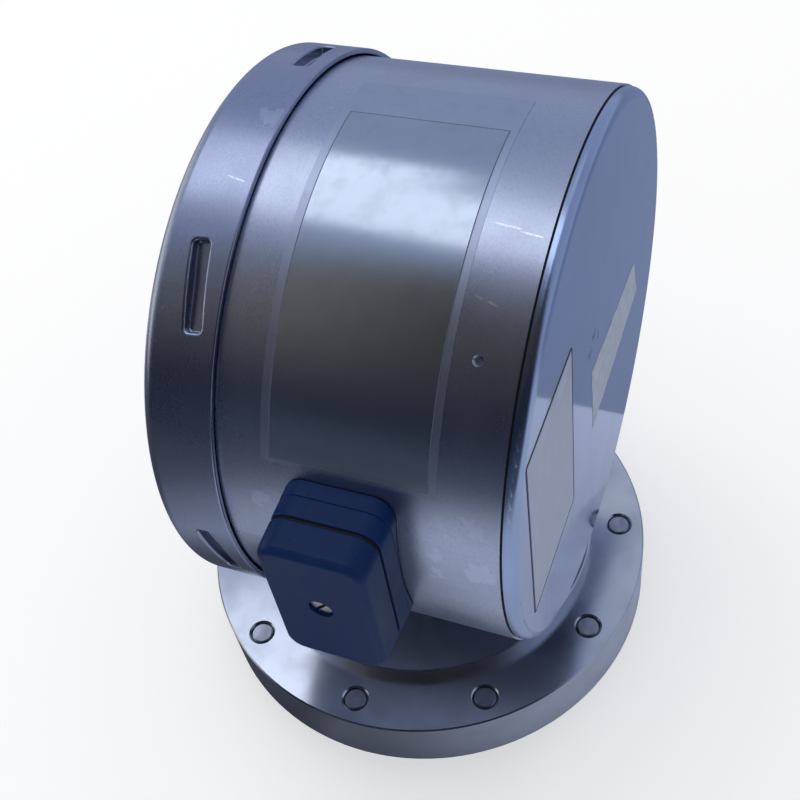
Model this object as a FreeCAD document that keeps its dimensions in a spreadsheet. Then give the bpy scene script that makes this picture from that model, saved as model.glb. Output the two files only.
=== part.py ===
import FreeCAD, Part
import math
import os
from types import SimpleNamespace

import Sketcher

# Pressure transmitter in a round sheet case on a diaphragm flange, in millimetres.
# The origin is the middle of the base face, on the axis of the process port. Z points up,
# the axis of the case lies along Y with its front at -Y, and the connector points along +X.

# The sizes, each written once. A formula ties a size to the one that it follows and a named distance.
DIMENSIONS = (
    ("fit_gap", "0.3", "gap between curved faces that sit in one another"),
    ("flange_radius", "81.0", "outer radius of both flanges"),
    ("lower_thick", "14.0", "thickness of the lower flange"),
    ("upper_thick", "8.8", "thickness of the upper flange at its rim"),
    ("flange_chamfer", "0.5", "chamfer on the outer edges of the flanges"),
    ("step_inset", "19.0", "width of the flat rim round the raised centre"),
    ("step_radius", "=flange_radius - step_inset", "radius of the raised centre of the upper flange"),
    ("step_height", "6.0", "height of the raised centre"),
    ("port_radius", "5.72", "core radius of the process thread"),
    ("bolt_count", "10", "number of flange screws"),
    ("bolt_edge", "8.7", "distance of the flange screws from the rim"),
    ("bolt_circle", "=flange_radius - bolt_edge", "radius of the circle of flange screws"),
    ("bolt_radius", "3.9", "shank radius of a flange screw"),
    ("bolt_tip_chamfer", "0.5", "chamfer on the end of a flange screw"),
    ("bolt_head_radius", "6.5", "head radius of a flange screw"),
    ("bolt_head_height", "8.0", "head height of a flange screw"),
    ("bolt_head_sink", "0.6", "depth of the screw heads below the base face"),
    ("bolt_hex_flats", "6.0", "width across flats of the screw socket"),
    ("bolt_hex_depth", "4.0", "depth of the screw socket"),
    ("bolt_tip_sink", "0.2", "depth of the screw ends below the flange face"),
    ("hole_mouth", "0.6", "chamfer at the mouth of a tapped hole"),
    ("diaphragm_edge", "12.3", "distance of the diaphragm's edge from the circle of screws"),
    ("diaphragm_radius", "=bolt_circle - diaphragm_edge", "outer radius of the diaphragm"),
    ("diaphragm_thick", "0.5", "thickness of the diaphragm"),
    ("seal_edge", "5.0", "distance of the flange seal from the diaphragm's edge"),
    ("seal_radius", "=diaphragm_radius - seal_edge", "middle radius of the flange seal"),
    ("seal_width", "3.4", "width of the flange seal"),
    ("seal_height", "2.4", "height of the flange seal"),
    ("chamber_edge", "7.0", "distance of the chamber's wall from the middle of the seal"),
    ("chamber_radius", "=seal_radius - chamber_edge", "radius of the pressure chamber"),
    ("chamber_depth", "2.5", "depth of the chamber on each side of the diaphragm"),
    ("wave_edge", "4.0", "distance of the first corrugation from the chamber's wall"),
    ("wave_outer", "=chamber_radius - wave_edge", "radius where the corrugations start"),
    ("wave_height", "0.9", "height of the corrugations"),
    ("wave_pitch", "5.0", "radial pitch of half a corrugation"),
    ("boss_radius", "9.0", "radius of the stiff centre of the diaphragm"),
    ("boss_height", "1.5", "height of the stiff centre"),
    ("collar_radius", "19.0", "radius of the stem's collar"),
    ("collar_height", "7.0", "height of the stem's collar"),
    ("stem_radius", "13.5", "radius of the stem"),
    ("stem_spigot_radius", "14.0", "radius of the stem's lower spigot"),
    ("stem_spigot_length", "9.0", "length of the stem's lower spigot"),
    ("stem_thread_radius", "11.0", "radius of the stem's upper thread"),
    ("stem_bore", "3.0", "radius of the bore for the push rod"),
    ("case_radius", "80.5", "outer radius of the case"),
    ("case_wall", "1.5", "wall of the case"),
    ("neck_height", "22.7", "height of the neck between the raised centre and the case"),
    ("step_top", "=lower_thick + upper_thick + step_height", "height of the raised centre above the base"),
    ("axis_height", "=step_top + neck_height + case_radius", "height of the case axis above the base"),
    ("case_rear", "61.4", "rear edge of the case"),
    ("ring_lap", "2.1", "length of the ring that reaches over the case shoulder"),
    ("stem_clear", "1.4", "gap between the neck and the bayonet ring"),
    ("shoulder_reach", "=stem_radius + stem_clear + ring_lap", "reach of the case shoulder to the front"),
    ("shoulder_front", "=0 - shoulder_reach", "front face of the case shoulder"),
    ("rim_step", "4.0", "step of the case shoulder"),
    ("rim_radius", "=case_radius - rim_step", "outer radius of the front rim of the case"),
    ("ring_proud", "2.1", "height of the bayonet ring above the case"),
    ("ring_radius", "=case_radius + ring_proud", "outer radius of the bayonet ring"),
    ("ring_wall", "1.2", "wall of the bayonet ring"),
    ("ring_rear", "=shoulder_front + ring_lap", "rear edge of the bayonet ring"),
    ("ring_lip", "12.6", "width of the ring's front face"),
    ("ring_opening", "=ring_radius - ring_lip", "radius of the front opening of the ring"),
    ("ring_rounding", "3.9", "rounding of the ring's front edge"),
    ("ring_bead", "0.5", "rounding of the ring's rear edge"),
    ("ring_hem", "0.4", "height of the hem inside the ring's rear edge"),
    ("ring_hem_length", "1.6", "length of that hem"),
    ("cam_count", "6", "number of pressed cams and of lugs"),
    ("cam_angle", "50.5", "angle of the first cam above the X axis"),
    ("cam_length", "23.0", "outside length of a pressed cam"),
    ("cam_width", "4.6", "outside width of a pressed cam"),
    ("cam_corner", "1.2", "corner radius of a pressed cam"),
    ("cam_depth", "3.4", "depth of a pressed cam"),
    ("cam_brink", "0.8", "rounding where a cam is pressed in"),
    ("cam_floor_rounding", "0.6", "rounding at the bottom of a pressed cam"),
    ("cam_set", "5.7", "distance of the cams in front of the case shoulder"),
    ("cam_slant", "5.3", "slant of a cam against the edge of the ring"),
    ("lug_width", "5.0", "angle that a lug takes up"),
    ("lug_lead", "4.0", "angle from the middle of a cam to its lug when closed"),
    ("lug_thick", "2.0", "thickness of a lug"),
    ("lug_gap", "0.5", "gap between a lug and the closed cam"),
    ("lug_set", "1.42", "distance of the lugs behind the front edge of the rim"),
    ("lug_clear", "1.2", "gap between a lug and the inside of the ring"),
    ("lug_radius", "=ring_radius - ring_wall - lug_clear", "outer radius of the lugs"),
    ("cover_thick", "2.2", "thickness of the front cover"),
    ("gasket_thick", "1.5", "thickness of the front gasket"),
    ("gasket_width", "4.5", "width of the front gasket"),
    ("rear_inset", "0.5", "step from the case down to the rear cover"),
    ("rear_radius", "=case_radius - rear_inset", "outer radius of the rear cover"),
    ("rear_depth", "3.5", "depth of the rear cover's rim"),
    ("rear_rounding", "2.8", "rounding of the rear cover's rim"),
    ("rear_wall", "1.5", "wall of the rear cover"),
    ("rear_seal_thick", "0.5", "thickness of the rear seal"),
    ("rear_seal_inset", "0.5", "depth of the rear seal behind the rear cover's rim"),
    ("dimple_count", "3", "number of dimples that hold the rear cover"),
    ("dimple_angle", "46.9", "angle of the first dimple above the X axis"),
    ("dimple_back", "10.1", "distance of the dimples from the rear edge of the case"),
    ("dimple_place", "=case_rear - dimple_back", "place of the dimples along the case axis"),
    ("dimple_radius", "1.4", "outside radius of a dimple"),
    ("dimple_depth", "0.9", "depth of a dimple"),
    ("groove_depth", "1.2", "depth of the skirt's groove for the dimples"),
    ("skirt_margin", "0.7", "length of the skirt beyond its groove"),
    ("block_length", "44.0", "length of the stem block along X"),
    ("block_clear", "1.0", "gap between the stem block and the case shoulder"),
    ("block_reach", "=shoulder_reach - case_wall - block_clear", "reach of the stem block to the front"),
    ("block_front", "=0 - block_reach", "front face of the stem block"),
    ("block_height", "12.0", "height of the stem block above the inner wall"),
    ("nut_flats", "28.0", "width across flats of the stem nut"),
    ("nut_height", "8.0", "height of the stem nut"),
    ("stem_over", "2.0", "stem thread that stands above the nut"),
    ("rod_radius", "2.0", "radius of the push rod"),
    ("rod_foot_radius", "4.0", "radius of the push rod's foot"),
    ("rod_foot_height", "1.2", "height of the push rod's foot"),
    ("core_radius", "3.2", "radius of the core"),
    ("core_length", "22.0", "length of the core"),
    ("coil_radius", "11.0", "radius of the coil"),
    ("coil_length", "38.0", "length of the coil"),
    ("coil_raise", "9.0", "height of the coil above the stem"),
    ("bracket_length", "32.0", "length of the coil bracket along X"),
    ("bracket_height", "12.0", "height of the coil bracket"),
    ("bracket_raise", "12.0", "height of the bracket above the coil's lower end"),
    ("bracket_edge", "4.0", "wall of the coil bracket in front of the coil"),
    ("plate_clear", "2.0", "gap between the mounting plate and the wall of the case"),
    ("plate_radius", "=case_radius - case_wall - plate_clear", "radius of the mounting plate"),
    ("plate_front", "25.0", "front face of the mounting plate"),
    ("plate_thick", "2.0", "thickness of the mounting plate"),
    ("plate_screw_radius", "2.0", "shank radius of a plate screw"),
    ("plate_screw_head", "3.5", "head radius of a plate screw"),
    ("plate_screw_rise", "2.2", "head height of a plate screw"),
    ("plate_screw_length", "10.0", "length of a plate screw"),
    ("block_screw_place", "13.0", "distance of the block's screws from the middle"),
    ("block_screw_raise", "8.5", "height of the block's screws above the inner wall"),
    ("bracket_screw_place", "10.0", "distance of the bracket's screws from the middle"),
    ("pillar_radius", "3.5", "radius of a board pillar"),
    ("pillar_length", "10.0", "length of a board pillar"),
    ("board_length", "84.0", "length of the circuit board"),
    ("board_width", "64.0", "width of the circuit board"),
    ("board_thick", "1.6", "thickness of the circuit board"),
    ("board_inset", "6.0", "distance of the board's screws from its edges"),
    ("board_screw_radius", "1.5", "shank radius of a board screw"),
    ("board_screw_head", "2.8", "head radius of a board screw"),
    ("board_screw_rise", "2.0", "head height of a board screw"),
    ("board_screw_length", "6.0", "length of a board screw"),
    ("module_length", "56.0", "length of the transmitter module"),
    ("module_width", "36.0", "width of the transmitter module"),
    ("module_height", "16.0", "height of the transmitter module"),
    ("module_corner", "2.0", "corner radius of the transmitter module"),
    ("plug_place", "19.3", "place of the connector along the case axis"),
    ("plug_raise", "0.8", "height of the connector's middle above the case axis"),
    ("plug_width", "30.8", "width of the connector at the case"),
    ("plug_height", "50.4", "height of the connector at the case"),
    ("plug_corner", "5.9", "corner radius of the connector"),
    ("plug_slope", "0.035", "slope of the connector's sides"),
    ("plug_wall", "2.4", "wall of the connector"),
    ("saddle_rise", "0.6", "height of the saddle above the case"),
    ("saddle_out", "=case_radius + saddle_rise", "outer face of the saddle, from the case axis"),
    ("frame_depth", "6.1", "depth of the connector frame"),
    ("seal_gap", "1.0", "thickness of the connector gasket"),
    ("seal_inset", "0.7", "depth of the connector gasket behind the walls"),
    ("cap_depth", "9.7", "depth of the connector cap"),
    ("cap_front", "2.8", "thickness of the cap's front"),
    ("cap_rounding", "2.3", "rounding of the cap's front edge"),
    ("plug_edge", "0.35", "rounding of the edges at the connector's seams"),
    ("wire_radius", "5.0", "radius of the wire hole"),
    ("wire_drop", "4.0", "distance of the wire hole below the connector's middle"),
    ("head_radius", "3.1", "head radius of the cap screw"),
    ("head_height", "2.2", "head height of the cap screw"),
    ("head_sink", "0.9", "depth of the screw head below the cap's front"),
    ("head_slot", "0.9", "slot width of the cap screw"),
    ("head_slot_turn", "-42.0", "turn of that slot from upright"),
    ("head_slot_depth", "1.2", "slot depth of the cap screw"),
    ("cap_screw_radius", "1.8", "shank radius of the cap screw"),
    ("cap_screw_raise", "1.7", "height of the cap screw above the connector's middle"),
    ("cap_post_radius", "4.6", "radius of the post round the cap screw"),
    ("grommet_neck", "3.6", "neck radius of the cable grommet"),
    ("grommet_collar", "4.8", "collar radius of the cable grommet"),
    ("grommet_lip", "1.2", "thickness of a grommet collar"),
    ("grommet_bore", "2.5", "radius of the cable hole"),
    ("base_screw_radius", "1.7", "shank radius of a saddle screw"),
    ("base_screw_head", "3.0", "head radius of a saddle screw"),
    ("base_screw_rise", "2.0", "head height of a saddle screw"),
    ("base_screw_length", "7.0", "length of a saddle screw"),
    ("screw_clear", "1.0", "gap between the saddle's screws and the cable grommet"),
    ("base_screw_edge", "=plug_wall + grommet_lip + base_screw_head + screw_clear", "their end distance"),
    ("base_screw_place", "=plug_height / 2 - base_screw_edge", "place of the saddle's screws"),
    ("block_depth", "4.6", "depth of the terminal block"),
    ("block_gap", "1.5", "gap between the terminal block and the saddle's screws"),
    ("block_tall", "=2 * (base_screw_place - base_screw_head - block_gap)", "height of the terminal block"),
    ("block_side", "2.3", "gap between the terminal block and the connector's side walls"),
    ("block_wide", "=plug_width - 2 * plug_wall - 2 * block_side", "width of the terminal block"),
    ("terminal_edge", "3.6", "distance of the outer terminals from the block's ends"),
    ("terminal_pitch", "=block_tall / 2 - terminal_edge", "pitch of the terminal screws"),
    ("terminal_side", "3.5", "distance of the terminals from the block's sides"),
    ("terminal_column", "=block_wide / 2 - terminal_side", "distance of a terminal column from the middle"),
    ("terminal_head", "2.0", "radius of a terminal screw"),
    ("terminal_sink", "2.4", "depth of a terminal screw in its well"),
    ("terminal_rise", "0.8", "height of a terminal screw above the block"),
)

doc = FreeCAD.newDocument("pressure_transmitter")
sheet = doc.addObject("Spreadsheet::Sheet", "dims")
for row, (alias, value, note) in enumerate(DIMENSIONS, 1):
    sheet.set("A%d" % row, alias)
    sheet.set("B%d" % row, value)
    sheet.set("C%d" % row, note)
    sheet.setAlias("B%d" % row, alias)
doc.recompute()

Vector = FreeCAD.Vector
Rotation = FreeCAD.Rotation
Placement = FreeCAD.Placement


class Size:
    """A number that keeps its formula, so that a feature can be bound to the sheet by it."""

    def __init__(self, value, formula):
        self.value = value
        self.formula = formula

    def __add__(self, other):
        other = sized(other)
        return Size(self.value + other.value, "(%s + %s)" % (self.formula, other.formula))

    def __radd__(self, other):
        return sized(other) + self

    def __sub__(self, other):
        other = sized(other)
        return Size(self.value - other.value, "(%s - %s)" % (self.formula, other.formula))

    def __rsub__(self, other):
        return sized(other) - self

    def __mul__(self, other):
        other = sized(other)
        return Size(self.value * other.value, "(%s * %s)" % (self.formula, other.formula))

    def __rmul__(self, other):
        return sized(other) * self

    def __truediv__(self, other):
        other = sized(other)
        return Size(self.value / other.value, "(%s / %s)" % (self.formula, other.formula))

    def __neg__(self):
        return Size(-self.value, "(0 - %s)" % self.formula)


def sized(number):
    """Gives a plain number the form of a Size."""
    if isinstance(number, Size):
        return number
    return Size(float(number), repr(float(number)))


def root(size):
    """Square root of a Size."""
    return Size(math.sqrt(size.value), "sqrt(%s)" % size.formula)


def sine(size):
    """Sine of an angle in degrees."""
    return Size(math.sin(math.radians(size.value)), "sin(%s)" % size.formula)


def cosine(size):
    """Cosine of an angle in degrees."""
    return Size(math.cos(math.radians(size.value)), "cos(%s)" % size.formula)


def arc_tangent(size):
    """Angle in degrees whose tangent is given."""
    return Size(math.degrees(math.atan(size.value)), "atan(%s)" % size.formula)


d = SimpleNamespace()
for alias, value, note in DIMENSIONS:
    setattr(d, alias, Size(float(sheet.get(alias)), "dims." + alias))

parts = []


def bind(thing, prop, size):
    """Binds a property to a size in the sheet."""
    thing.setExpression(prop, sized(size).formula)


def new_body(label):
    """A body that becomes a sub-part of its own."""
    body = doc.addObject("PartDesign::Body", label)
    body.Label = label
    body.AllowCompound = True
    parts.append(body)
    return body


def drum_body(label, angle=0.0):
    """A body whose own Z axis is the case axis, pointing to the rear, turned about it by an angle."""
    body = new_body(label)
    turn = Rotation(Vector(0, -1, 0), sized(angle).value) * Rotation(Vector(1, 0, 0), -90)
    body.Placement = Placement(Vector(0, 0, d.axis_height.value), turn)
    bind(body, "Placement.Base.z", d.axis_height)
    return body


def plug_body(label):
    """A body whose own X, Y and Z are the case axis, up and outward, in the middle of the connector."""
    body = new_body(label)
    middle = d.axis_height + d.plug_raise
    turn = Rotation(Vector(1, 1, 1), 120)
    body.Placement = Placement(Vector(0, d.plug_place.value, middle.value), turn)
    bind(body, "Placement.Base.y", d.plug_place)
    bind(body, "Placement.Base.z", middle)
    return body


def origin(body, role):
    """A plane or axis of a body's origin."""
    return [item for item in body.Origin.OriginFeatures if item.Role == role][0]


def new_sketch(body, name, plane, offset=0.0, turn=0.0, spin=0.0):
    """A sketch on an origin plane, moved along its normal and turned about its upright axis or normal."""
    sketch = body.newObject("Sketcher::SketchObject", name)
    sketch.AttachmentSupport = [(origin(body, plane), "")]
    sketch.MapMode = "FlatFace"
    offset, turn, spin = sized(offset), sized(turn), sized(spin)
    rotation = Rotation(Vector(0, 1, 0), turn.value)
    if spin.value:
        rotation = Rotation(Vector(0, 0, 1), spin.value)
    sketch.AttachmentOffset = Placement(Vector(0, 0, offset.value), rotation)
    if offset.value:
        bind(sketch, "AttachmentOffset.Base.z", offset)
    if turn.value or spin.value:
        bind(sketch, "AttachmentOffset.Rotation.Angle", turn if turn.value else spin)
    return sketch


def pin(sketch, item, point, x, y):
    """Pins a point of a sketch at x, y from the sketch's origin."""
    for kind, axis, size in (("DistanceX", -2, sized(x)), ("DistanceY", -1, sized(y))):
        if size.formula == "0.0":
            sketch.addConstraint(Sketcher.Constraint("PointOnObject", item, point, axis))
            continue
        number = sketch.addConstraint(Sketcher.Constraint(kind, -1, 1, item, point, size.value))
        bind(sketch, "Constraints[%d]" % number, size)


def flat(x, y):
    """A point in a sketch."""
    return Vector(sized(x).value, sized(y).value, 0)


def outline(sketch, points):
    """A closed outline of straight lines."""
    ends = points[1:] + points[:1]
    lines = []
    for start, end in zip(points, ends):
        lines.append(sketch.addGeometry(Part.LineSegment(flat(*start), flat(*end)), False))
    for line, following in zip(lines, lines[1:] + lines[:1]):
        sketch.addConstraint(Sketcher.Constraint("Coincident", line, 2, following, 1))
    for line, point in zip(lines, points):
        pin(sketch, line, 1, *point)


def axis_line(sketch, start, end):
    """A construction line to turn a profile about."""
    line = sketch.addGeometry(Part.LineSegment(flat(*start), flat(*end)), True)
    pin(sketch, line, 1, *start)
    pin(sketch, line, 2, *end)


def circle(sketch, x, y, radius):
    """A circle with its middle at x, y."""
    item = sketch.addGeometry(Part.Circle(flat(x, y), Vector(0, 0, 1), sized(radius).value), False)
    pin(sketch, item, 3, x, y)
    number = sketch.addConstraint(Sketcher.Constraint("Radius", item, sized(radius).value))
    bind(sketch, "Constraints[%d]" % number, radius)


def rounded_box(sketch, x, y, width, height, corner):
    """A rectangle with round corners, with its middle at x, y."""
    right, top = width / 2.0, height / 2.0
    inner_x, inner_y = right - corner, top - corner
    sides = (
        ((x - inner_x, y - top), (x + inner_x, y - top)),
        ((x + right, y - inner_y), (x + right, y + inner_y)),
        ((x + inner_x, y + top), (x - inner_x, y + top)),
        ((x - right, y + inner_y), (x - right, y - inner_y)),
    )
    centres = ((x + inner_x, y - inner_y), (x + inner_x, y + inner_y),
               (x - inner_x, y + inner_y), (x - inner_x, y - inner_y))
    lines = []
    for start, end in sides:
        line = sketch.addGeometry(Part.LineSegment(flat(*start), flat(*end)), False)
        pin(sketch, line, 1, *start)
        pin(sketch, line, 2, *end)
        lines.append(line)
    for number, middle in enumerate(centres):
        start_angle = math.radians(90.0 * number - 90.0)
        shape = Part.Circle(flat(*middle), Vector(0, 0, 1), corner.value)
        arc = sketch.addGeometry(Part.ArcOfCircle(shape, start_angle, start_angle + math.pi / 2), False)
        sketch.addConstraint(Sketcher.Constraint("Coincident", lines[number], 2, arc, 1))
        sketch.addConstraint(Sketcher.Constraint("Coincident", arc, 2, lines[(number + 1) % 4], 1))
        radius = sketch.addConstraint(Sketcher.Constraint("Radius", arc, corner.value))
        bind(sketch, "Constraints[%d]" % radius, corner)


def hexagon(sketch, x, y, flats):
    """A hexagon with its middle at x, y and its corners along x."""
    far = flats / math.sqrt(3.0)
    near = far / 2.0
    half = flats / 2.0
    outline(sketch, [(x + far, y), (x + near, y + half), (x - near, y + half),
                     (x - far, y), (x - near, y - half), (x + near, y - half)])


def turned(body, name, points, kind="Revolution", angle=360.0, turn=0.0, line=None):
    """A profile turned about the body's Z axis, or about a line of its own."""
    sketch = new_sketch(body, name + "_profile", "XZ_Plane", turn=turn)
    if line:
        axis_line(sketch, *line)
    outline(sketch, points)
    feature = body.newObject("PartDesign::" + kind, name)
    feature.Profile = sketch
    feature.ReferenceAxis = (sketch, ["Axis0" if line else "V_Axis"])
    feature.Midplane = sized(angle).value < 360.0
    bind(feature, "Angle", angle)
    body.Tip = feature
    return feature


def padded(body, name, sketch, length, slope=None, back=False):
    """A pad along the sketch's normal, or back from it, with sides that lean in by a slope."""
    feature = body.newObject("PartDesign::Pad", name)
    feature.Profile = sketch
    feature.Reversed = back
    bind(feature, "Length", length)
    if slope is not None:
        bind(feature, "TaperAngle", arc_tangent(-slope))
    body.Tip = feature
    return feature


def pocketed(body, name, sketch, length=None, ahead=False, both=False):
    """A pocket behind the sketch's plane, ahead of it or to both sides, as deep as given or through all."""
    feature = body.newObject("PartDesign::Pocket", name)
    feature.Profile = sketch
    feature.Reversed = ahead
    if length is None:
        feature.Type = "ThroughAll"
    else:
        bind(feature, "Length", length)
    if both:
        feature.SideType = "Symmetric"
    body.Tip = feature
    return feature


def around(body, name, features, count):
    """Repeats features round the body's Z axis."""
    pattern = body.newObject("PartDesign::PolarPattern", name)
    pattern.Originals = features
    pattern.Axis = (origin(body, "Z_Axis"), [""])
    pattern.Angle = 360
    bind(pattern, "Occurrences", count)
    body.Tip = pattern
    return pattern


def rounded(body, name, feature, wanted, radius):
    """Rounds the edges of a feature that the given test picks."""
    doc.recompute()
    edges = []
    for number, edge in enumerate(feature.Shape.Edges, 1):
        if wanted(edge):
            edges.append("Edge%d" % number)
    fillet = body.newObject("PartDesign::Fillet", name)
    fillet.Base = (feature, edges)
    bind(fillet, "Radius", radius)
    body.Tip = fillet
    return fillet


def near(first, second):
    """Whether two lengths are the same to a hundredth of a millimetre."""
    return abs(first - second) < 0.01


# Flanges: the diaphragm lies in a recess of the upper flange and is clamped at its edge.
flange_top = d.lower_thick + d.upper_thick
bolt_hole = d.bolt_radius + d.fit_gap
bolt_seat = d.bolt_head_sink + d.bolt_head_height
head_hole = d.bolt_head_radius + d.fit_gap
groove_inner = d.seal_radius - d.seal_width / 2.0 - d.fit_gap
groove_outer = d.seal_radius + d.seal_width / 2.0 + d.fit_gap

lower_flange = new_body("lower_flange")
chamber_floor = d.lower_thick - d.chamber_depth
groove_floor = d.lower_thick - d.seal_height
turned(lower_flange, "disc", [
    (d.port_radius, 0),
    (d.flange_radius - d.flange_chamfer, 0),
    (d.flange_radius, d.flange_chamfer),
    (d.flange_radius, d.lower_thick),
    (groove_outer, d.lower_thick),
    (groove_outer, groove_floor),
    (groove_inner, groove_floor),
    (groove_inner, d.lower_thick),
    (d.chamber_radius, d.lower_thick),
    (d.chamber_radius, chamber_floor),
    (d.port_radius, chamber_floor),
])
sketch = new_sketch(lower_flange, "hole_circle", "XY_Plane")
circle(sketch, d.bolt_circle, 0, bolt_hole)
hole = pocketed(lower_flange, "hole", sketch, ahead=True)
sketch = new_sketch(lower_flange, "sink_circle", "XY_Plane")
circle(sketch, d.bolt_circle, 0, head_hole)
sink = pocketed(lower_flange, "sink", sketch, bolt_seat, ahead=True)
around(lower_flange, "holes", [hole, sink], d.bolt_count)

flange_seal = new_body("flange_seal")
turned(flange_seal, "ring", [
    (d.seal_radius - d.seal_width / 2.0, groove_floor),
    (d.seal_radius + d.seal_width / 2.0, groove_floor),
    (d.seal_radius + d.seal_width / 2.0, d.lower_thick),
    (d.seal_radius - d.seal_width / 2.0, d.lower_thick),
])

# The corrugations run from the clamped edge to the stiff centre, up and down by turns.
diaphragm = new_body("diaphragm")
crests = []
wave_count = round((d.wave_outer.value - d.boss_radius.value) / d.wave_pitch.value)
for number in range(wave_count):
    rise = d.wave_height * (0.5 - number % 2)
    crests.append((d.wave_outer - d.wave_pitch * number, d.lower_thick + rise))
under = [(d.diaphragm_radius, d.lower_thick), (d.wave_outer + d.wave_pitch / 2.0, d.lower_thick)]
under += crests
under += [(d.boss_radius, d.lower_thick), (0, d.lower_thick)]
over = [(r, z + d.diaphragm_thick) for r, z in under[:-2]]
over += [
    (d.boss_radius, d.lower_thick + d.diaphragm_thick),
    (d.boss_radius, d.lower_thick + d.diaphragm_thick + d.boss_height),
    (0, d.lower_thick + d.diaphragm_thick + d.boss_height),
]
turned(diaphragm, "membrane", under + over[::-1])

upper_flange = new_body("upper_flange")
recess_top = d.lower_thick + d.diaphragm_thick
cavity_top = recess_top + d.chamber_depth
spigot_hole = d.stem_spigot_radius + d.fit_gap
recess_radius = d.diaphragm_radius + d.fit_gap
turned(upper_flange, "disc", [
    (spigot_hole, cavity_top),
    (d.chamber_radius, cavity_top),
    (d.chamber_radius, recess_top),
    (recess_radius, recess_top),
    (recess_radius, d.lower_thick),
    (d.flange_radius, d.lower_thick),
    (d.flange_radius, flange_top - d.flange_chamfer),
    (d.flange_radius - d.flange_chamfer, flange_top),
    (d.step_radius, flange_top),
    (d.step_radius, d.step_top - d.flange_chamfer),
    (d.step_radius - d.flange_chamfer, d.step_top),
    (spigot_hole, d.step_top),
])
sketch = new_sketch(upper_flange, "hole_circle", "XY_Plane")
circle(sketch, d.bolt_circle, 0, bolt_hole)
hole = pocketed(upper_flange, "hole", sketch, ahead=True)
mouth = turned(upper_flange, "mouth", [
    (d.bolt_circle, flange_top - d.hole_mouth),
    (d.bolt_circle + bolt_hole, flange_top - d.hole_mouth),
    (d.bolt_circle + bolt_hole + d.hole_mouth * 2.0, flange_top + d.hole_mouth),
    (d.bolt_circle, flange_top + d.hole_mouth),
], kind="Groove", line=((d.bolt_circle, flange_top - d.hole_mouth), (d.bolt_circle, flange_top)))
around(upper_flange, "holes", [hole, mouth], d.bolt_count)

# The screws are put in from below, and their ends stand level with the upper face.
flange_screws = new_body("flange_screws")
bolt_end = flange_top - d.bolt_tip_sink
sketch = new_sketch(flange_screws, "socket_hexagon", "XY_Plane", d.bolt_head_sink)
screw = turned(flange_screws, "screw", [
    (d.bolt_circle, d.bolt_head_sink),
    (d.bolt_circle + d.bolt_head_radius, d.bolt_head_sink),
    (d.bolt_circle + d.bolt_head_radius, bolt_seat),
    (d.bolt_circle + d.bolt_radius, bolt_seat),
    (d.bolt_circle + d.bolt_radius, bolt_end - d.bolt_tip_chamfer),
    (d.bolt_circle + d.bolt_radius - d.bolt_tip_chamfer, bolt_end),
    (d.bolt_circle, bolt_end),
], line=((d.bolt_circle, d.bolt_head_sink), (d.bolt_circle, bolt_end)))
hexagon(sketch, d.bolt_circle, sized(0), d.bolt_hex_flats)
socket = pocketed(flange_screws, "socket", sketch, d.bolt_hex_depth, ahead=True)
around(flange_screws, "screws", [screw, socket], d.bolt_count)

# Stem: the neck stands on the raised centre, hugs the case from below and passes through its wall.
case_inner = d.case_radius - d.case_wall
wall_low = d.axis_height - case_inner
block_top = wall_low + d.block_height
nut_top = block_top + d.nut_height
stem_top = nut_top + d.stem_over

stem = new_body("stem")
turned(stem, "neck", [
    (0, d.step_top - d.stem_spigot_length),
    (d.stem_spigot_radius, d.step_top - d.stem_spigot_length),
    (d.stem_spigot_radius, d.step_top),
    (d.collar_radius, d.step_top),
    (d.collar_radius, d.step_top + d.collar_height),
    (d.stem_radius, d.step_top + d.collar_height),
    (d.stem_radius, wall_low + d.case_wall),
    (0, wall_low + d.case_wall),
])
sketch = new_sketch(stem, "saddle_circle", "XZ_Plane")
circle(sketch, 0, d.axis_height, d.case_radius + d.fit_gap)
pocketed(stem, "saddle", sketch, d.collar_radius * 4.0, both=True)
sketch = new_sketch(stem, "thread_circle", "XY_Plane", d.step_top)
circle(sketch, 0, 0, d.stem_thread_radius)
padded(stem, "thread", sketch, stem_top - d.step_top)
sketch = new_sketch(stem, "bore_circle", "XY_Plane")
circle(sketch, 0, 0, d.stem_bore)
pocketed(stem, "bore", sketch, ahead=True)

# The block inside follows the inner wall with its underside and carries the mounting plate at its back.
thread_hole = d.stem_thread_radius + d.fit_gap
stem_block = new_body("stem_block")
sketch = new_sketch(stem_block, "block_outline", "XY_Plane", block_top)
block_run = d.plate_front - d.block_front
half = d.block_length / 2.0
outline(sketch, [(-half, d.block_front), (half, d.block_front),
                 (half, d.plate_front), (-half, d.plate_front)])
padded(stem_block, "block", sketch, d.block_height + d.fit_gap, back=True)
trim_radius = case_inner - d.fit_gap
sketch = new_sketch(stem_block, "wall_circles", "XZ_Plane")
circle(sketch, 0, d.axis_height, trim_radius)
circle(sketch, 0, d.axis_height, d.case_radius + d.block_length)
pocketed(stem_block, "underside", sketch, block_run * 2.0 + d.plate_front * 2.0, both=True)
sketch = new_sketch(stem_block, "thread_hole_circle", "XY_Plane", block_top)
circle(sketch, 0, 0, thread_hole)
pocketed(stem_block, "thread_hole", sketch)
block_screw_height = wall_low + d.block_screw_raise
screw_hole = d.plate_screw_radius + d.fit_gap
sketch = new_sketch(stem_block, "screw_hole_circles", "XZ_Plane", -d.plate_front)
circle(sketch, -d.block_screw_place, block_screw_height, screw_hole)
circle(sketch, d.block_screw_place, block_screw_height, screw_hole)
pocketed(stem_block, "screw_holes", sketch, d.plate_screw_length, ahead=True)

stem_nut = new_body("stem_nut")
sketch = new_sketch(stem_nut, "nut_outline", "XY_Plane", block_top)
hexagon(sketch, sized(0), sized(0), d.nut_flats)
circle(sketch, 0, 0, thread_hole)
padded(stem_nut, "nut", sketch, d.nut_height)

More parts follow.
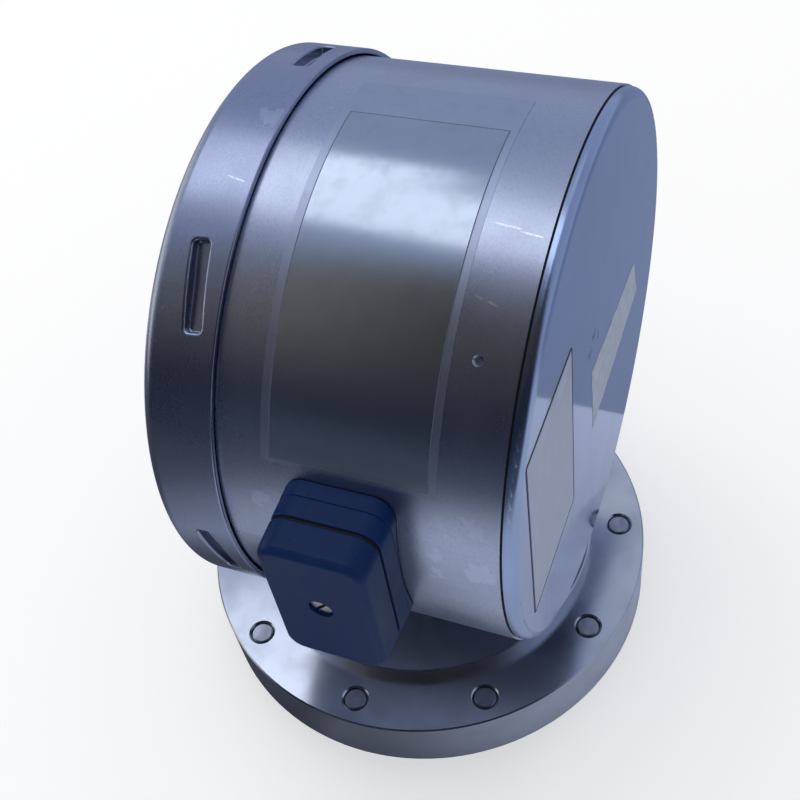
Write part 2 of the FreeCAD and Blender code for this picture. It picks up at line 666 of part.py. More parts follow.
# Pick-up: the rod stands on the diaphragm's centre and carries the core into the coil.
rod_foot = recess_top + d.boss_height
coil_low = stem_top + d.coil_raise
coil_high = coil_low + d.coil_length
core_low = coil_low + (d.coil_length - d.core_length) / 2.0

armature = new_body("armature")
turned(armature, "rod", [
    (0, rod_foot),
    (d.rod_foot_radius, rod_foot),
    (d.rod_foot_radius, rod_foot + d.rod_foot_height),
    (d.rod_radius, rod_foot + d.rod_foot_height),
    (d.rod_radius, core_low),
    (d.core_radius, core_low),
    (d.core_radius, core_low + d.core_length),
    (0, core_low + d.core_length),
])

coil = new_body("coil")
coil_bore = d.core_radius + d.fit_gap
turned(coil, "bobbin", [
    (coil_bore, coil_low),
    (d.coil_radius, coil_low),
    (d.coil_radius, coil_high),
    (coil_bore, coil_high),
])

bracket_low = coil_low + d.bracket_raise
bracket_screw_height = bracket_low + d.bracket_height / 2.0
coil_bracket = new_body("coil_bracket")
sketch = new_sketch(coil_bracket, "clamp_outline", "XY_Plane", bracket_low)
half = d.bracket_length / 2.0
bracket_front = -(d.coil_radius + d.bracket_edge)
outline(sketch, [(-half, bracket_front), (half, bracket_front),
                 (half, d.plate_front), (-half, d.plate_front)])
circle(sketch, 0, 0, d.coil_radius + d.fit_gap)
padded(coil_bracket, "clamp", sketch, d.bracket_height)
sketch = new_sketch(coil_bracket, "screw_hole_circles", "XZ_Plane", -d.plate_front)
circle(sketch, -d.bracket_screw_place, bracket_screw_height, screw_hole)
circle(sketch, d.bracket_screw_place, bracket_screw_height, screw_hole)
pocketed(coil_bracket, "screw_holes", sketch, d.plate_screw_length, ahead=True)

# Chassis: a round plate behind the coil with the board on its rear side.
plate_rear = d.plate_front + d.plate_thick
board_front = plate_rear + d.pillar_length
board_rear = board_front + d.board_thick
hole_x = d.board_length / 2.0 - d.board_inset
hole_y = d.board_width / 2.0 - d.board_inset
board_holes = [(hole_x, hole_y), (-hole_x, hole_y), (-hole_x, -hole_y), (hole_x, -hole_y)]
plate_holes = [
    (d.block_screw_place, d.axis_height - block_screw_height),
    (-d.block_screw_place, d.axis_height - block_screw_height),
    (d.bracket_screw_place, d.axis_height - bracket_screw_height),
    (-d.bracket_screw_place, d.axis_height - bracket_screw_height),
]


def circles(body, name, places, radius, offset):
    """A sketch across the case axis with a circle at each place."""
    sketch = new_sketch(body, name, "XY_Plane", offset)
    for x, y in places:
        circle(sketch, x, y, radius)
    return sketch


mounting_plate = drum_body("mounting_plate")
sketch = circles(mounting_plate, "plate_outline", plate_holes, screw_hole, d.plate_front)
circle(sketch, 0, 0, d.plate_radius)
padded(mounting_plate, "plate", sketch, d.plate_thick)

plate_screws = drum_body("plate_screws")
sketch = circles(plate_screws, "head_circles", plate_holes, d.plate_screw_head, plate_rear)
padded(plate_screws, "heads", sketch, d.plate_screw_rise)
sketch = circles(plate_screws, "shank_circles", plate_holes, d.plate_screw_radius, plate_rear)
padded(plate_screws, "shanks", sketch, d.plate_screw_length, back=True)

pillar_hole = d.board_screw_radius + d.fit_gap
standoffs = drum_body("standoffs")
sketch = circles(standoffs, "pillar_circles", board_holes, d.pillar_radius, plate_rear)
padded(standoffs, "pillars", sketch, d.pillar_length)
sketch = circles(standoffs, "thread_circles", board_holes, pillar_hole, board_front)
pocketed(standoffs, "threads", sketch, d.board_screw_length)

circuit_board = drum_body("circuit_board")
sketch = circles(circuit_board, "board_outline", board_holes, pillar_hole, board_front)
half = d.board_length / 2.0
tall = d.board_width / 2.0
outline(sketch, [(half, tall), (-half, tall), (-half, -tall), (half, -tall)])
padded(circuit_board, "board", sketch, d.board_thick)

board_screws = drum_body("board_screws")
sketch = circles(board_screws, "head_circles", board_holes, d.board_screw_head, board_rear)
padded(board_screws, "heads", sketch, d.board_screw_rise)
sketch = circles(board_screws, "shank_circles", board_holes, d.board_screw_radius, board_rear)
padded(board_screws, "shanks", sketch, d.board_screw_length, back=True)

transmitter_module = drum_body("transmitter_module")
sketch = new_sketch(transmitter_module, "module_outline", "XY_Plane", board_rear)
rounded_box(sketch, sized(0), sized(0), d.module_length, d.module_width, d.module_corner)
padded(transmitter_module, "module", sketch, d.module_height)

# Case: one sheet shell. Its shoulder steps in to the front rim, whose lugs hold the cams of the ring.
case = drum_body("case")
rim_inner = d.rim_radius - d.case_wall
ring_inner = d.ring_radius - d.ring_wall
shoulder_rear = d.shoulder_front + d.case_wall
# A closed cam lies behind its lug and draws away from it as the ring is turned to open.
cam_half = d.cam_width / 2.0 + d.ring_wall
cam_middle = d.shoulder_front - d.cam_set
lug_reach = (d.lug_lead + d.lug_width / 2.0) * (math.pi / 180.0) * d.ring_radius
lug_rear = cam_middle - cam_half / cosine(d.cam_slant) - lug_reach * sine(d.cam_slant) - d.lug_gap
lug_front = lug_rear - d.lug_thick
# The rim carries gasket and cover, and the ring's front face closes on them.
rim_front = lug_front - d.lug_set
cover_rear = rim_front - d.gasket_thick
cover_front = cover_rear - d.cover_thick
flange_rear = cover_front - d.fit_gap
ring_front = flange_rear - d.ring_wall
turned(case, "shell", [
    (case_inner, d.case_rear),
    (d.case_radius, d.case_rear),
    (d.case_radius, d.shoulder_front),
    (d.rim_radius, d.shoulder_front),
    (d.rim_radius, rim_front),
    (rim_inner, rim_front),
    (rim_inner, shoulder_rear),
    (case_inner, shoulder_rear),
])
lug = turned(case, "lug", [
    (d.rim_radius - d.case_wall / 2.0, lug_front),
    (d.lug_radius, lug_front),
    (d.lug_radius, lug_rear),
    (d.rim_radius - d.case_wall / 2.0, lug_rear),
], angle=d.lug_width, turn=-(d.cam_angle + d.lug_lead))
around(case, "lugs", [lug], d.cam_count)
# Each dimple is a dent outside and a bulge inside.
bulge_tip = case_inner - d.dimple_depth
bulge = turned(case, "bulge", [
    (bulge_tip, d.dimple_place),
    (bulge_tip, d.dimple_place + d.dimple_radius * 0.6),
    (case_inner + d.case_wall / 2.0, d.dimple_place + d.dimple_radius * 1.3),
    (case_inner + d.case_wall / 2.0, d.dimple_place),
], turn=-d.dimple_angle, line=((bulge_tip, d.dimple_place), (d.case_radius, d.dimple_place)))
dent = turned(case, "dent", [
    (d.case_radius - d.dimple_depth, d.dimple_place),
    (d.case_radius - d.dimple_depth, d.dimple_place + d.dimple_radius * 0.4),
    (d.case_radius + d.dimple_depth, d.dimple_place + d.dimple_radius * 1.6),
    (d.case_radius + d.dimple_depth, d.dimple_place),
], kind="Groove", turn=-d.dimple_angle,
    line=((d.case_radius - d.dimple_depth, d.dimple_place), (d.case_radius, d.dimple_place)))
around(case, "dimples", [bulge, dent], d.dimple_count)
sketch = new_sketch(case, "stem_hole_circle", "XZ_Plane")
circle(sketch, 0, 0, thread_hole)
pocketed(case, "stem_hole", sketch)
base_screw_hole = d.base_screw_radius + d.fit_gap
sketch = new_sketch(case, "connector_hole_circles", "YZ_Plane")
circle(sketch, d.wire_drop - d.plug_raise, d.plug_place, d.wire_radius)
circle(sketch, -d.plug_raise - d.base_screw_place, d.plug_place, base_screw_hole)
circle(sketch, -d.plug_raise + d.base_screw_place, d.plug_place, base_screw_hole)
pocketed(case, "connector_holes", sketch, ahead=True)

# Bayonet ring: a drawn sheet ring with slanted cams pressed into it.
bayonet_ring = drum_body("bayonet_ring", d.cam_angle)
hem_inner = ring_inner - d.ring_hem
band = turned(bayonet_ring, "band", [
    (d.ring_opening, ring_front),
    (d.ring_radius, ring_front),
    (d.ring_radius, d.ring_rear),
    (hem_inner, d.ring_rear),
    (hem_inner, d.ring_rear - d.ring_hem_length),
    (ring_inner, d.ring_rear - d.ring_hem_length - d.ring_hem),
    (ring_inner, flange_rear),
    (d.ring_opening, flange_rear),
])
edge_round = rounded(
    bayonet_ring, "front_rounding", band,
    lambda edge: near(edge.BoundBox.ZMin, ring_front.value)
    and near(edge.BoundBox.ZMax, ring_front.value)
    and near(edge.BoundBox.XMax, d.ring_radius.value), d.ring_rounding)
bead_round = rounded(
    bayonet_ring, "rear_rounding", edge_round,
    lambda edge: near(edge.BoundBox.ZMin, d.ring_rear.value)
    and near(edge.BoundBox.ZMax, d.ring_rear.value)
    and edge.BoundBox.XMax > hem_inner.value - 0.01, d.ring_bead)
cam_floor = d.ring_radius - d.cam_depth
cam_tip = cam_floor - d.ring_wall
sketch = new_sketch(bayonet_ring, "cam_outline", "YZ_Plane", cam_tip, spin=d.cam_slant)
cam_y = cam_middle * cosine(d.cam_slant)
cam_x = cam_middle * sine(d.cam_slant)
rounded_box(sketch, cam_x, cam_y, d.cam_length + d.ring_wall * 2.0, d.cam_width + d.ring_wall * 2.0,
            d.cam_corner + d.ring_wall)
cam = padded(bayonet_ring, "cam", sketch, d.ring_radius - cam_tip)
around(bayonet_ring, "cams", [cam], d.cam_count)
turned(bayonet_ring, "outside", [
    (d.ring_radius, d.ring_rear),
    (d.ring_radius, ring_front + d.ring_rounding),
    (d.ring_radius + d.cam_length, ring_front + d.ring_rounding),
    (d.ring_radius + d.cam_length, d.ring_rear),
], kind="Groove")
sketch = new_sketch(bayonet_ring, "press_outline", "YZ_Plane", cam_floor, spin=d.cam_slant)
rounded_box(sketch, cam_x, cam_y, d.cam_length, d.cam_width, d.cam_corner)
press = pocketed(bayonet_ring, "press", sketch, d.cam_depth * 2.0, ahead=True)
presses = around(bayonet_ring, "presses", [press], d.cam_count)


def on_brink(edge):
    """Whether an edge runs along the brink of a pressed cam."""
    middle = edge.valueAt((edge.FirstParameter + edge.LastParameter) / 2.0)
    short = edge.Length < d.cam_length.value * 1.5
    behind_front = edge.BoundBox.ZMin > ring_front.value + d.ring_rounding.value
    return short and behind_front and near(math.hypot(middle.x, middle.y), d.ring_radius.value)


def on_cam_floor(edge):
    """Whether an edge runs round the bottom of a pressed cam."""
    points = [edge.valueAt(edge.FirstParameter), edge.valueAt(edge.LastParameter)]
    for number in range(round(d.cam_count.value)):
        angle = 2.0 * math.pi * number / d.cam_count.value
        outward = Vector(math.cos(angle), math.sin(angle), 0)
        if all(near(point.dot(outward), cam_floor.value) for point in points):
            return True
    return False


brinks = rounded(bayonet_ring, "brinks", presses, on_brink, d.cam_brink)
rounded(bayonet_ring, "cam_floors", brinks, on_cam_floor, d.cam_floor_rounding)

# Front closure: gasket on the rim, plain disc on the gasket, ring over both.
front_gasket = drum_body("front_gasket")
gasket_outer = d.rim_radius + d.fit_gap
turned(front_gasket, "ring", [
    (gasket_outer - d.gasket_width, rim_front),
    (gasket_outer - d.gasket_width, cover_rear),
    (gasket_outer, cover_rear),
    (gasket_outer, rim_front),
])
front_cover = drum_body("front_cover")
cover_radius = ring_inner - d.ring_rounding + d.ring_wall
sketch = new_sketch(front_cover, "disc_circle", "XY_Plane", cover_rear)
circle(sketch, 0, 0, cover_radius)
padded(front_cover, "disc", sketch, d.cover_thick, back=True)

# Rear closure: a dished cover whose skirt snaps on to the dimples.
rear_cover = drum_body("rear_cover")
rim_face = d.case_rear + d.rear_seal_thick
rear_face = rim_face + d.rear_depth
skirt_outer = case_inner - d.fit_gap
skirt_inner = skirt_outer - d.rear_wall
dip = d.dimple_radius * 1.5
skirt_end = d.dimple_place - dip - d.groove_depth - d.skirt_margin
dish = turned(rear_cover, "dish", [
    (0, rear_face - d.rear_wall),
    (skirt_inner, rear_face - d.rear_wall),
    (skirt_inner, d.dimple_place + dip + d.groove_depth),
    (skirt_inner - d.groove_depth, d.dimple_place + dip),
    (skirt_inner - d.groove_depth, d.dimple_place - dip),
    (skirt_inner, d.dimple_place - dip - d.groove_depth),
    (skirt_inner, skirt_end),
    (skirt_outer, skirt_end),
    (skirt_outer, d.dimple_place - dip - d.groove_depth),
    (skirt_outer - d.groove_depth, d.dimple_place - dip),
    (skirt_outer - d.groove_depth, d.dimple_place + dip),
    (skirt_outer, d.dimple_place + dip + d.groove_depth),
    (skirt_outer, rim_face),
    (d.rear_radius, rim_face),
    (d.rear_radius, rear_face),
    (0, rear_face),
])
rounded(
    rear_cover, "rim_rounding", dish,
    lambda edge: near(edge.BoundBox.ZMin, rear_face.value)
    and near(edge.BoundBox.ZMax, rear_face.value)
    and near(edge.BoundBox.XMax, d.rear_radius.value), d.rear_rounding)

rear_seal = drum_body("rear_seal")
turned(rear_seal, "ring", [
    (skirt_outer + d.fit_gap, d.case_rear),
    (d.rear_radius - d.rear_seal_inset, d.case_rear),
    (d.rear_radius - d.rear_seal_inset, rim_face),
    (skirt_outer + d.fit_gap, rim_face),
])

# Connector: saddle, frame, gasket and cap, one above the other, with leaning sides.
frame_out = d.saddle_out + d.frame_depth
gasket_out = frame_out + d.seal_gap
cap_out = gasket_out + d.cap_depth
cap_inside = cap_out - d.cap_front
saddle_low = root(d.case_radius * d.case_radius - (d.plug_raise + d.plug_height / 2.0)
                  * (d.plug_raise + d.plug_height / 2.0))


def plug_inset(distance):
    """How far the sides have leaned in at a distance from the case axis."""
    return (distance - saddle_low) * d.plug_slope


def plug_outline(sketch, distance, inset):
    """The connector's outline at a distance from the case axis, drawn in by an inset."""
    shrink = plug_inset(distance) + inset
    rounded_box(sketch, sized(0), sized(0), d.plug_width - shrink * 2.0, d.plug_height - shrink * 2.0,
                d.plug_corner - inset)


def at_level(*levels):
    """A test for edges that lie in a plane at one of some distances from the case axis."""
    def lies_there(edge):
        low, high = edge.BoundBox.ZMin, edge.BoundBox.ZMax
        return any(near(low, level.value) and near(high, level.value) for level in levels)
    return lies_there


connector_base = plug_body("connector_base")
sketch = new_sketch(connector_base, "saddle_outline", "XY_Plane", saddle_low)
plug_outline(sketch, saddle_low, 0.0)
saddle = padded(connector_base, "saddle", sketch, d.saddle_out - saddle_low, d.plug_slope)
rounded(connector_base, "seam_rounding", saddle, at_level(d.saddle_out), d.plug_edge)
sketch = new_sketch(connector_base, "wall_circle", "YZ_Plane")
circle(sketch, -d.plug_raise, 0, d.case_radius + d.fit_gap)
pocketed(connector_base, "seat", sketch, d.plug_width * 2.0, both=True)
sketch = new_sketch(connector_base, "hole_circles", "XY_Plane", d.saddle_out)
circle(sketch, 0, -d.wire_drop, d.wire_radius)
circle(sketch, 0, d.base_screw_place, base_screw_hole)
circle(sketch, 0, -d.base_screw_place, base_screw_hole)
pocketed(connector_base, "holes", sketch)

entry_radius = d.grommet_neck + d.fit_gap
entry_axis = (frame_out + gasket_out) / 2.0
cap_screw_hole = d.cap_screw_radius + d.fit_gap


def cut_entry(body):
    """Cuts the cable entry through the lower wall of a connector piece."""
    sketch = new_sketch(body, "entry_circle", "XZ_Plane")
    circle(sketch, 0, entry_axis, entry_radius)
    pocketed(body, "entry", sketch, ahead=True)


connector_housing = plug_body("connector_housing")
sketch = new_sketch(connector_housing, "frame_outline", "XY_Plane", d.saddle_out)
plug_outline(sketch, d.saddle_out, 0.0)
walls = padded(connector_housing, "frame", sketch, d.frame_depth, d.plug_slope)
rounded(connector_housing, "seam_roundings", walls, at_level(d.saddle_out, frame_out), d.plug_edge)
sketch = new_sketch(connector_housing, "room_outline", "XY_Plane", frame_out)
plug_outline(sketch, frame_out, d.plug_wall)
pocketed(connector_housing, "room", sketch)
cut_entry(connector_housing)

connector_gasket = plug_body("connector_gasket")
sketch = new_sketch(connector_gasket, "seal_outline", "XY_Plane", frame_out)
plug_outline(sketch, frame_out, d.seal_inset)
plug_outline(sketch, frame_out, d.plug_wall)
padded(connector_gasket, "seal", sketch, d.seal_gap)
cut_entry(connector_gasket)

connector_cap = plug_body("connector_cap")
sketch = new_sketch(connector_cap, "cap_outline", "XY_Plane", gasket_out)
plug_outline(sketch, gasket_out, 0.0)
shell = padded(connector_cap, "shell", sketch, d.cap_depth, d.plug_slope)
front = rounded(connector_cap, "front_rounding", shell, at_level(cap_out), d.cap_rounding)
rounded(connector_cap, "seam_rounding", front, at_level(gasket_out), d.plug_edge)
sketch = new_sketch(connector_cap, "room_outline", "XY_Plane", gasket_out)
plug_outline(sketch, gasket_out, d.plug_wall)
circle(sketch, 0, d.cap_screw_raise, d.cap_post_radius)
pocketed(connector_cap, "room", sketch, cap_inside - gasket_out, ahead=True)
cut_entry(connector_cap)
cap_head_hole = d.head_radius + d.fit_gap
head_seat = cap_out - d.head_sink - d.head_height
sketch = new_sketch(connector_cap, "head_circle", "XY_Plane", cap_out)
circle(sketch, 0, d.cap_screw_raise, cap_head_hole)
pocketed(connector_cap, "head_recess", sketch, d.head_sink + d.head_height)
sketch = new_sketch(connector_cap, "shank_circle", "XY_Plane", cap_out)
circle(sketch, 0, d.cap_screw_raise, cap_screw_hole)
pocketed(connector_cap, "shank_hole", sketch)

# The cap screw passes through the post of the cap into the terminal block.
block_face = d.saddle_out + d.block_depth
connector_screw = plug_body("connector_screw")
sketch = new_sketch(connector_screw, "head_circle", "XY_Plane", head_seat)
circle(sketch, 0, d.cap_screw_raise, d.head_radius)
padded(connector_screw, "head", sketch, d.head_height)
sketch = new_sketch(connector_screw, "shank_circle", "XY_Plane", head_seat)
circle(sketch, 0, d.cap_screw_raise, d.cap_screw_radius)
padded(connector_screw, "shank", sketch, head_seat - d.saddle_out - d.fit_gap, back=True)
sketch = new_sketch(connector_screw, "slot_outline", "XY_Plane", head_seat + d.head_height, spin=d.head_slot_turn)
half = d.head_slot / 2.0
reach = d.head_radius * 1.5
slot_x = d.cap_screw_raise * sine(d.head_slot_turn)
slot_y = d.cap_screw_raise * cosine(d.head_slot_turn)
outline(sketch, [(slot_x - half, slot_y - reach), (slot_x + half, slot_y - reach),
                 (slot_x + half, slot_y + reach), (slot_x - half, slot_y + reach)])
pocketed(connector_screw, "slot", sketch, d.head_slot_depth)

wells = []
for column in (-d.terminal_column, d.terminal_column):
    for level in (-d.terminal_pitch, sized(0), d.terminal_pitch):
        wells.append((column, level))
terminal_block = plug_body("terminal_block")
sketch = new_sketch(terminal_block, "block_outline", "XY_Plane", d.saddle_out)
wide = d.block_wide / 2.0
tall = d.block_tall / 2.0
outline(sketch, [(wide, tall), (-wide, tall), (-wide, -tall), (wide, -tall)])
circle(sketch, 0, d.cap_screw_raise, cap_screw_hole)
padded(terminal_block, "block", sketch, d.block_depth)
sketch = circles(terminal_block, "well_circles", wells, d.terminal_head + d.fit_gap, block_face)
pocketed(terminal_block, "wells", sketch, d.terminal_sink)

terminal_screws = plug_body("terminal_screws")
sketch = circles(terminal_screws, "screw_circles", wells, d.terminal_head, block_face - d.terminal_sink)
padded(terminal_screws, "screws", sketch, d.terminal_sink + d.terminal_rise)

screw_places = [(sized(0), d.base_screw_place), (sized(0), -d.base_screw_place)]
base_screws = plug_body("base_screws")
sketch = circles(base_screws, "head_circles", screw_places, d.base_screw_head, d.saddle_out)
padded(base_screws, "heads", sketch, d.base_screw_rise)
sketch = circles(base_screws, "shank_circles", screw_places, d.base_screw_radius, d.saddle_out)
padded(base_screws, "shanks", sketch, d.base_screw_length, back=True)

# The grommet sits in the parting line of frame and cap, with a collar on either side of the wall.
wall_out = d.plug_height / 2.0 - plug_inset(frame_out)
wall_in = wall_out - d.plug_wall
cable_grommet = new_body("cable_grommet")
middle = d.axis_height + d.plug_raise
cable_grommet.Placement = Placement(Vector(entry_axis.value, d.plug_place.value, middle.value), Rotation())
bind(cable_grommet, "Placement.Base.x", entry_axis)
bind(cable_grommet, "Placement.Base.y", d.plug_place)
bind(cable_grommet, "Placement.Base.z", middle)
collar_in = -wall_in + d.grommet_lip + d.fit_gap
turned(cable_grommet, "grommet", [
    (d.grommet_bore, collar_in),
    (d.grommet_collar, collar_in),
    (d.grommet_collar, -wall_in + d.fit_gap),
    (d.grommet_neck, -wall_in + d.fit_gap),
    (d.grommet_neck, -wall_out - d.fit_gap),
    (d.grommet_collar, -wall_out - d.fit_gap),
    (d.grommet_collar, -wall_out - d.fit_gap - d.grommet_lip),
    (d.grommet_bore, -wall_out - d.fit_gap - d.grommet_lip),
])

doc.recompute()

for item in doc.Objects:
    if "Invalid" in item.State or "Error" in item.State:
        raise RuntimeError("%s failed: %s" % (item.Label, item.State))
for body in parts:
    if body.Shape.isNull() or not body.Shape.isValid() or not body.Shape.Solids:
        raise RuntimeError("%s has no valid solid" % body.Label)

os.makedirs("parts", exist_ok=True)
for body in parts:
    body.Shape.exportStep("parts/%s.step" % body.Label)
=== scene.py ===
import math
import random

import bmesh
import bpy
from bpy.props import FloatProperty, FloatVectorProperty, PointerProperty
from mathutils import Matrix, Vector


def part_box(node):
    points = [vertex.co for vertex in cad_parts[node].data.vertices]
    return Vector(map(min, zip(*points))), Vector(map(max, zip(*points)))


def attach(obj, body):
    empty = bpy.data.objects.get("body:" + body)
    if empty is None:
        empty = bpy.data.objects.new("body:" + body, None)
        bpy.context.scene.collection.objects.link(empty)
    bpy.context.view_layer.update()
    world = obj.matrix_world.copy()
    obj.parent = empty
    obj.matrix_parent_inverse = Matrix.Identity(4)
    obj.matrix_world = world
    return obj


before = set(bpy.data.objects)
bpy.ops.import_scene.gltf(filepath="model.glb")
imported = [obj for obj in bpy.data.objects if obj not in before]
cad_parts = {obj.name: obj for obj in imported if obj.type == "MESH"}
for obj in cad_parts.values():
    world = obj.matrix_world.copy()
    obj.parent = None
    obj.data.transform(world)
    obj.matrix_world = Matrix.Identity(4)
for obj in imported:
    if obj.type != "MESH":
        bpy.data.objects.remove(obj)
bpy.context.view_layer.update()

bl_info = {
    "name": "Pressure transmitter",
    "version": (1, 0, 0),
    "blender": (4, 5, 0),
    "location": "View3D > Sidebar > Transmitter",
    "description": "Finishes, labels and stage of a pressure transmitter in a round steel case",
    "category": "Object",
}

MM = 0.001
CASE_LOW, CASE_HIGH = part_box("case")
AXIS_HEIGHT = (CASE_LOW.z + CASE_HIGH.z) / 2.0
CASE_RADIUS = (CASE_HIGH.z - CASE_LOW.z) / 2.0
RING_LOW, RING_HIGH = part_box("bayonet_ring")
RING_RADIUS = (RING_HIGH.x - RING_LOW.x) / 2.0
REAR_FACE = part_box("rear_cover")[1].y
REAR_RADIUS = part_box("rear_cover")[1].x
REAR_ROUNDING = 2.8 * MM
# A label's back stands off by this much from what it sticks to.
STICK = 0.01 * MM
# Faces that meet at more than this are left with a sharp edge between them.
SHARP = math.radians(30.0)
# A face looks outward if the cosine between its normal and the way out from the axis is above this.
OUTWARD = 0.9
# The torn paper strip in millimetres: its corners across and above the case axis, and how far its edge frays.
STRIP_CORNERS = ((6.2, 5.9), (-45.7, 0.9), (-50.7, -15.6), (4.6, -20.8))
STRIP_CUTS = 18
STRIP_FRAY = 0.4
STRIP_SEED = 4
FLOOR_WHITE = (0.86, 0.86, 0.86)
FLOOR_GLOW = 0.34
FLOOR_SIDES = 96
# The cloth that only mirrors show, a painted reflection, is a line from foot to top, in metres, swept round
# the upright.
CLOTH_FOOT = (1.05, 0.0, 0.0)
CLOTH_TOP = (0.22, 0.0, 1.6)
CLOTH_START = math.radians(-65.0)
CLOTH_SWEEP = math.radians(150.0)
CLOTH_STEPS = 30
# Places of the softboxes in metres, across and along the case axis.
TOP_ACROSS, TOP_ALONG, SIDE_ALONG = -0.17, -0.6, -0.72
LAMP_WHITE = (0.95, 0.97, 1.0)
# The way to the part of the sky that the flange's right side mirrors.
PALE_SKY = (-0.56, 0.03, 0.828)
SENSOR_WIDTH = 36.0
NEAR_CLIP, FAR_CLIP = 0.01, 20.0
# Settings that many nodes share. A mix of colours has its share at input 0 and its colours at 6 and 7.
# A map range has its value at input 0, the range it reads at 1 and 2, and the one it gives at 3 and 4.
SMOOTH = {"interpolation_type": "SMOOTHSTEP"}
COLOUR = {"data_type": "RGBA"}


def linear(code):
    """The linear colour of an sRGB hex value."""
    shares = [int(code[place:place + 2], 16) / 255.0 for place in (0, 2, 4)]
    return tuple(s / 12.92 if s <= 0.04045 else ((s + 0.055) / 1.055) ** 2.4 for s in shares)


def shaded(base, share=1.0, lift=0.0):
    """A colour for a socket, made darker or paler."""
    return tuple(min(part * share + lift, 1.0) for part in base) + (1.0,)


def colour(name, code, note):
    """A colour that a user may change."""
    return FloatVectorProperty(
        name=name, description=note, subtype="COLOR", min=0.0, max=1.0, default=linear(code))


def length(name, size, note):
    """A length that a user may change, given in millimetres and kept in metres."""
    return FloatProperty(
        name=name, description=note, subtype="DISTANCE", unit="LENGTH", precision=5, default=size * MM)


def turn(name, degrees, note):
    """An angle that a user may change, given in degrees."""
    return FloatProperty(
        name=name, description=note, subtype="ANGLE", unit="ROTATION", default=math.radians(degrees))


def power(name, watts, note):
    """The power of a lamp."""
    return FloatProperty(name=name, description=note, unit="POWER", default=watts)


class FinishColours(bpy.types.PropertyGroup):
    """Colours of the finishes."""

    sheet: colour("Sheet steel", "C0C6D6", "Satin stainless sheet of the case")
    # The ring's sheet is set darker than the case's, all over.
    ring: colour("Ring steel", "ABB2C7", "Satin stainless sheet of the ring, darker from handling")
    polish: colour("Bright steel", "AEBDD8", "Bright stainless sheet of the covers")
    turned: colour("Turned steel", "C6CAD4", "Turned stainless steel of the flanges")
    plastic: colour("Moulded plastic", "0A2550", "Glass-filled polyamide of the connector")
    foil: colour("Label foil", "BAC3CD", "Metallised polyester of the side label")
    film: colour("Clear film", "B6BDCE", "Aged clear film under the side label")
    rear_label: colour("Rear label", "A0AAC2", "Silver-grey foil of the rear label")
    paper: colour("Paper strip", "A8B2C8", "Faded paper on the rear cover")


class LabelSizes(bpy.types.PropertyGroup):
    """Places and sizes of the labels."""

    foil_low: turn("Foil, lower edge", 21.9, "Angle of the foil's lower edge above the connector side")
    foil_high: turn("Foil, upper edge", 90.7, "Angle of the foil's upper edge")
    foil_front: length("Foil, front edge", 0.2, "Place of the foil's front edge along the case axis")
    foil_rear: length("Foil, rear edge", 43.0, "Place of the foil's rear edge along the case axis")
    film_low: turn("Film, lower edge", 21.0, "Angle of the film's lower edge")
    film_high: turn("Film, upper edge", 101.5, "Angle of the film's upper edge")
    film_front: length("Film, front edge", -2.1, "Place of the film's front edge along the case axis")
    film_rear: length("Film, rear edge", 45.0, "Place of the film's rear edge along the case axis")
    thick: length("Thickness", 0.08, "Thickness of foil and film")
    # The foil's rim is a thin line of painted shade at its edge.
    rim: length("Foil, rim", 0.25, "Width of the foil's dirty rim")
    rear_width: length("Rear label, width", 41.0, "Width of the rear label")
    rear_height: length("Rear label, height", 66.0, "Height of the rear label")
    rear_across: length("Rear label, across", 46.9, "Place of the rear label's middle, across the cover")
    rear_up: length("Rear label, up", 5.0, "Place of the rear label's middle above the case axis")
    rear_corner: length("Rear label, corner", 1.4, "Corner radius of the rear label")
    rear_line: length("Rear label, line", 0.9, "Width of the dark line round the rear label")


class StageSettings(bpy.types.PropertyGroup):
    """Floor, light and camera."""

    floor_radius: length("Floor radius", 4000.0, "Radius of the floor")
    floor_drop: length("Floor drop", 0.05, "Depth of the floor under the flange, so that no planes meet")
    table_lift: length("Table lift", 0.4, "Height above the floor of the table that only mirrors show")
    box_height: length("Softbox height", 1650.0, "Height of the softboxes above the floor")
    top_width: length("Top softbox, width", 550.0, "Width of the softbox above the object")
    top_length: length("Top softbox, length", 1900.0, "Length of the softbox above the object")
    top_turn: turn("Top softbox, turn", -8.0, "Turn of the softbox above the object about the upright")
    top_power: power("Top softbox, power", 3.45, "Power of the softbox above the object")
    side_width: length("Side softbox, width", 320.0, "Width of the softbox beside it")
    side_length: length("Side softbox, length", 500.0, "Length of the softbox beside it")
    side_power: power("Side softbox, power", 0.6, "Power of the softbox beside it")
    lens: FloatProperty(
        name="Lens", description="Focal length on a 36 mm sensor", subtype="DISTANCE_CAMERA", default=51.69)
    eye: FloatVectorProperty(
        name="Camera place", description="Place of the camera", subtype="TRANSLATION", unit="LENGTH",
        precision=5, default=(219.63 * MM, 119.71 * MM, 384.86 * MM))
    gaze: FloatVectorProperty(
        name="Camera turn", description="Turn of the camera about X, Y and Z", subtype="EULER",
        default=[math.radians(angle) for angle in (40.719, 6.992, 110.697)])


def add(tree, kind, sockets=None, **settings):
    """Adds a node with its settings, sets or links its inputs, and gives its first output in use."""
    node = tree.nodes.new("ShaderNode" + kind)
    for name, value in settings.items():
        setattr(node, name, value)
    for socket, value in (sockets or {}).items():
        if isinstance(value, bpy.types.NodeSocket):
            tree.links.new(value, node.inputs[socket])
        else:
            node.inputs[socket].default_value = value
    return next((output for output in node.outputs if output.enabled), None)


def new_material(name):
    """An empty node material, with its tree."""
    material = bpy.data.materials.new(name)
    material.use_nodes = True
    material.node_tree.nodes.clear()
    return material, material.node_tree


def in_mm(tree):
    """Object coordinates in millimetres."""
    place = add(tree, "TexCoord").node.outputs["Object"]
    return add(tree, "Mapping", {"Vector": place, "Scale": (1.0 / MM, 1.0 / MM, 1.0 / MM)})


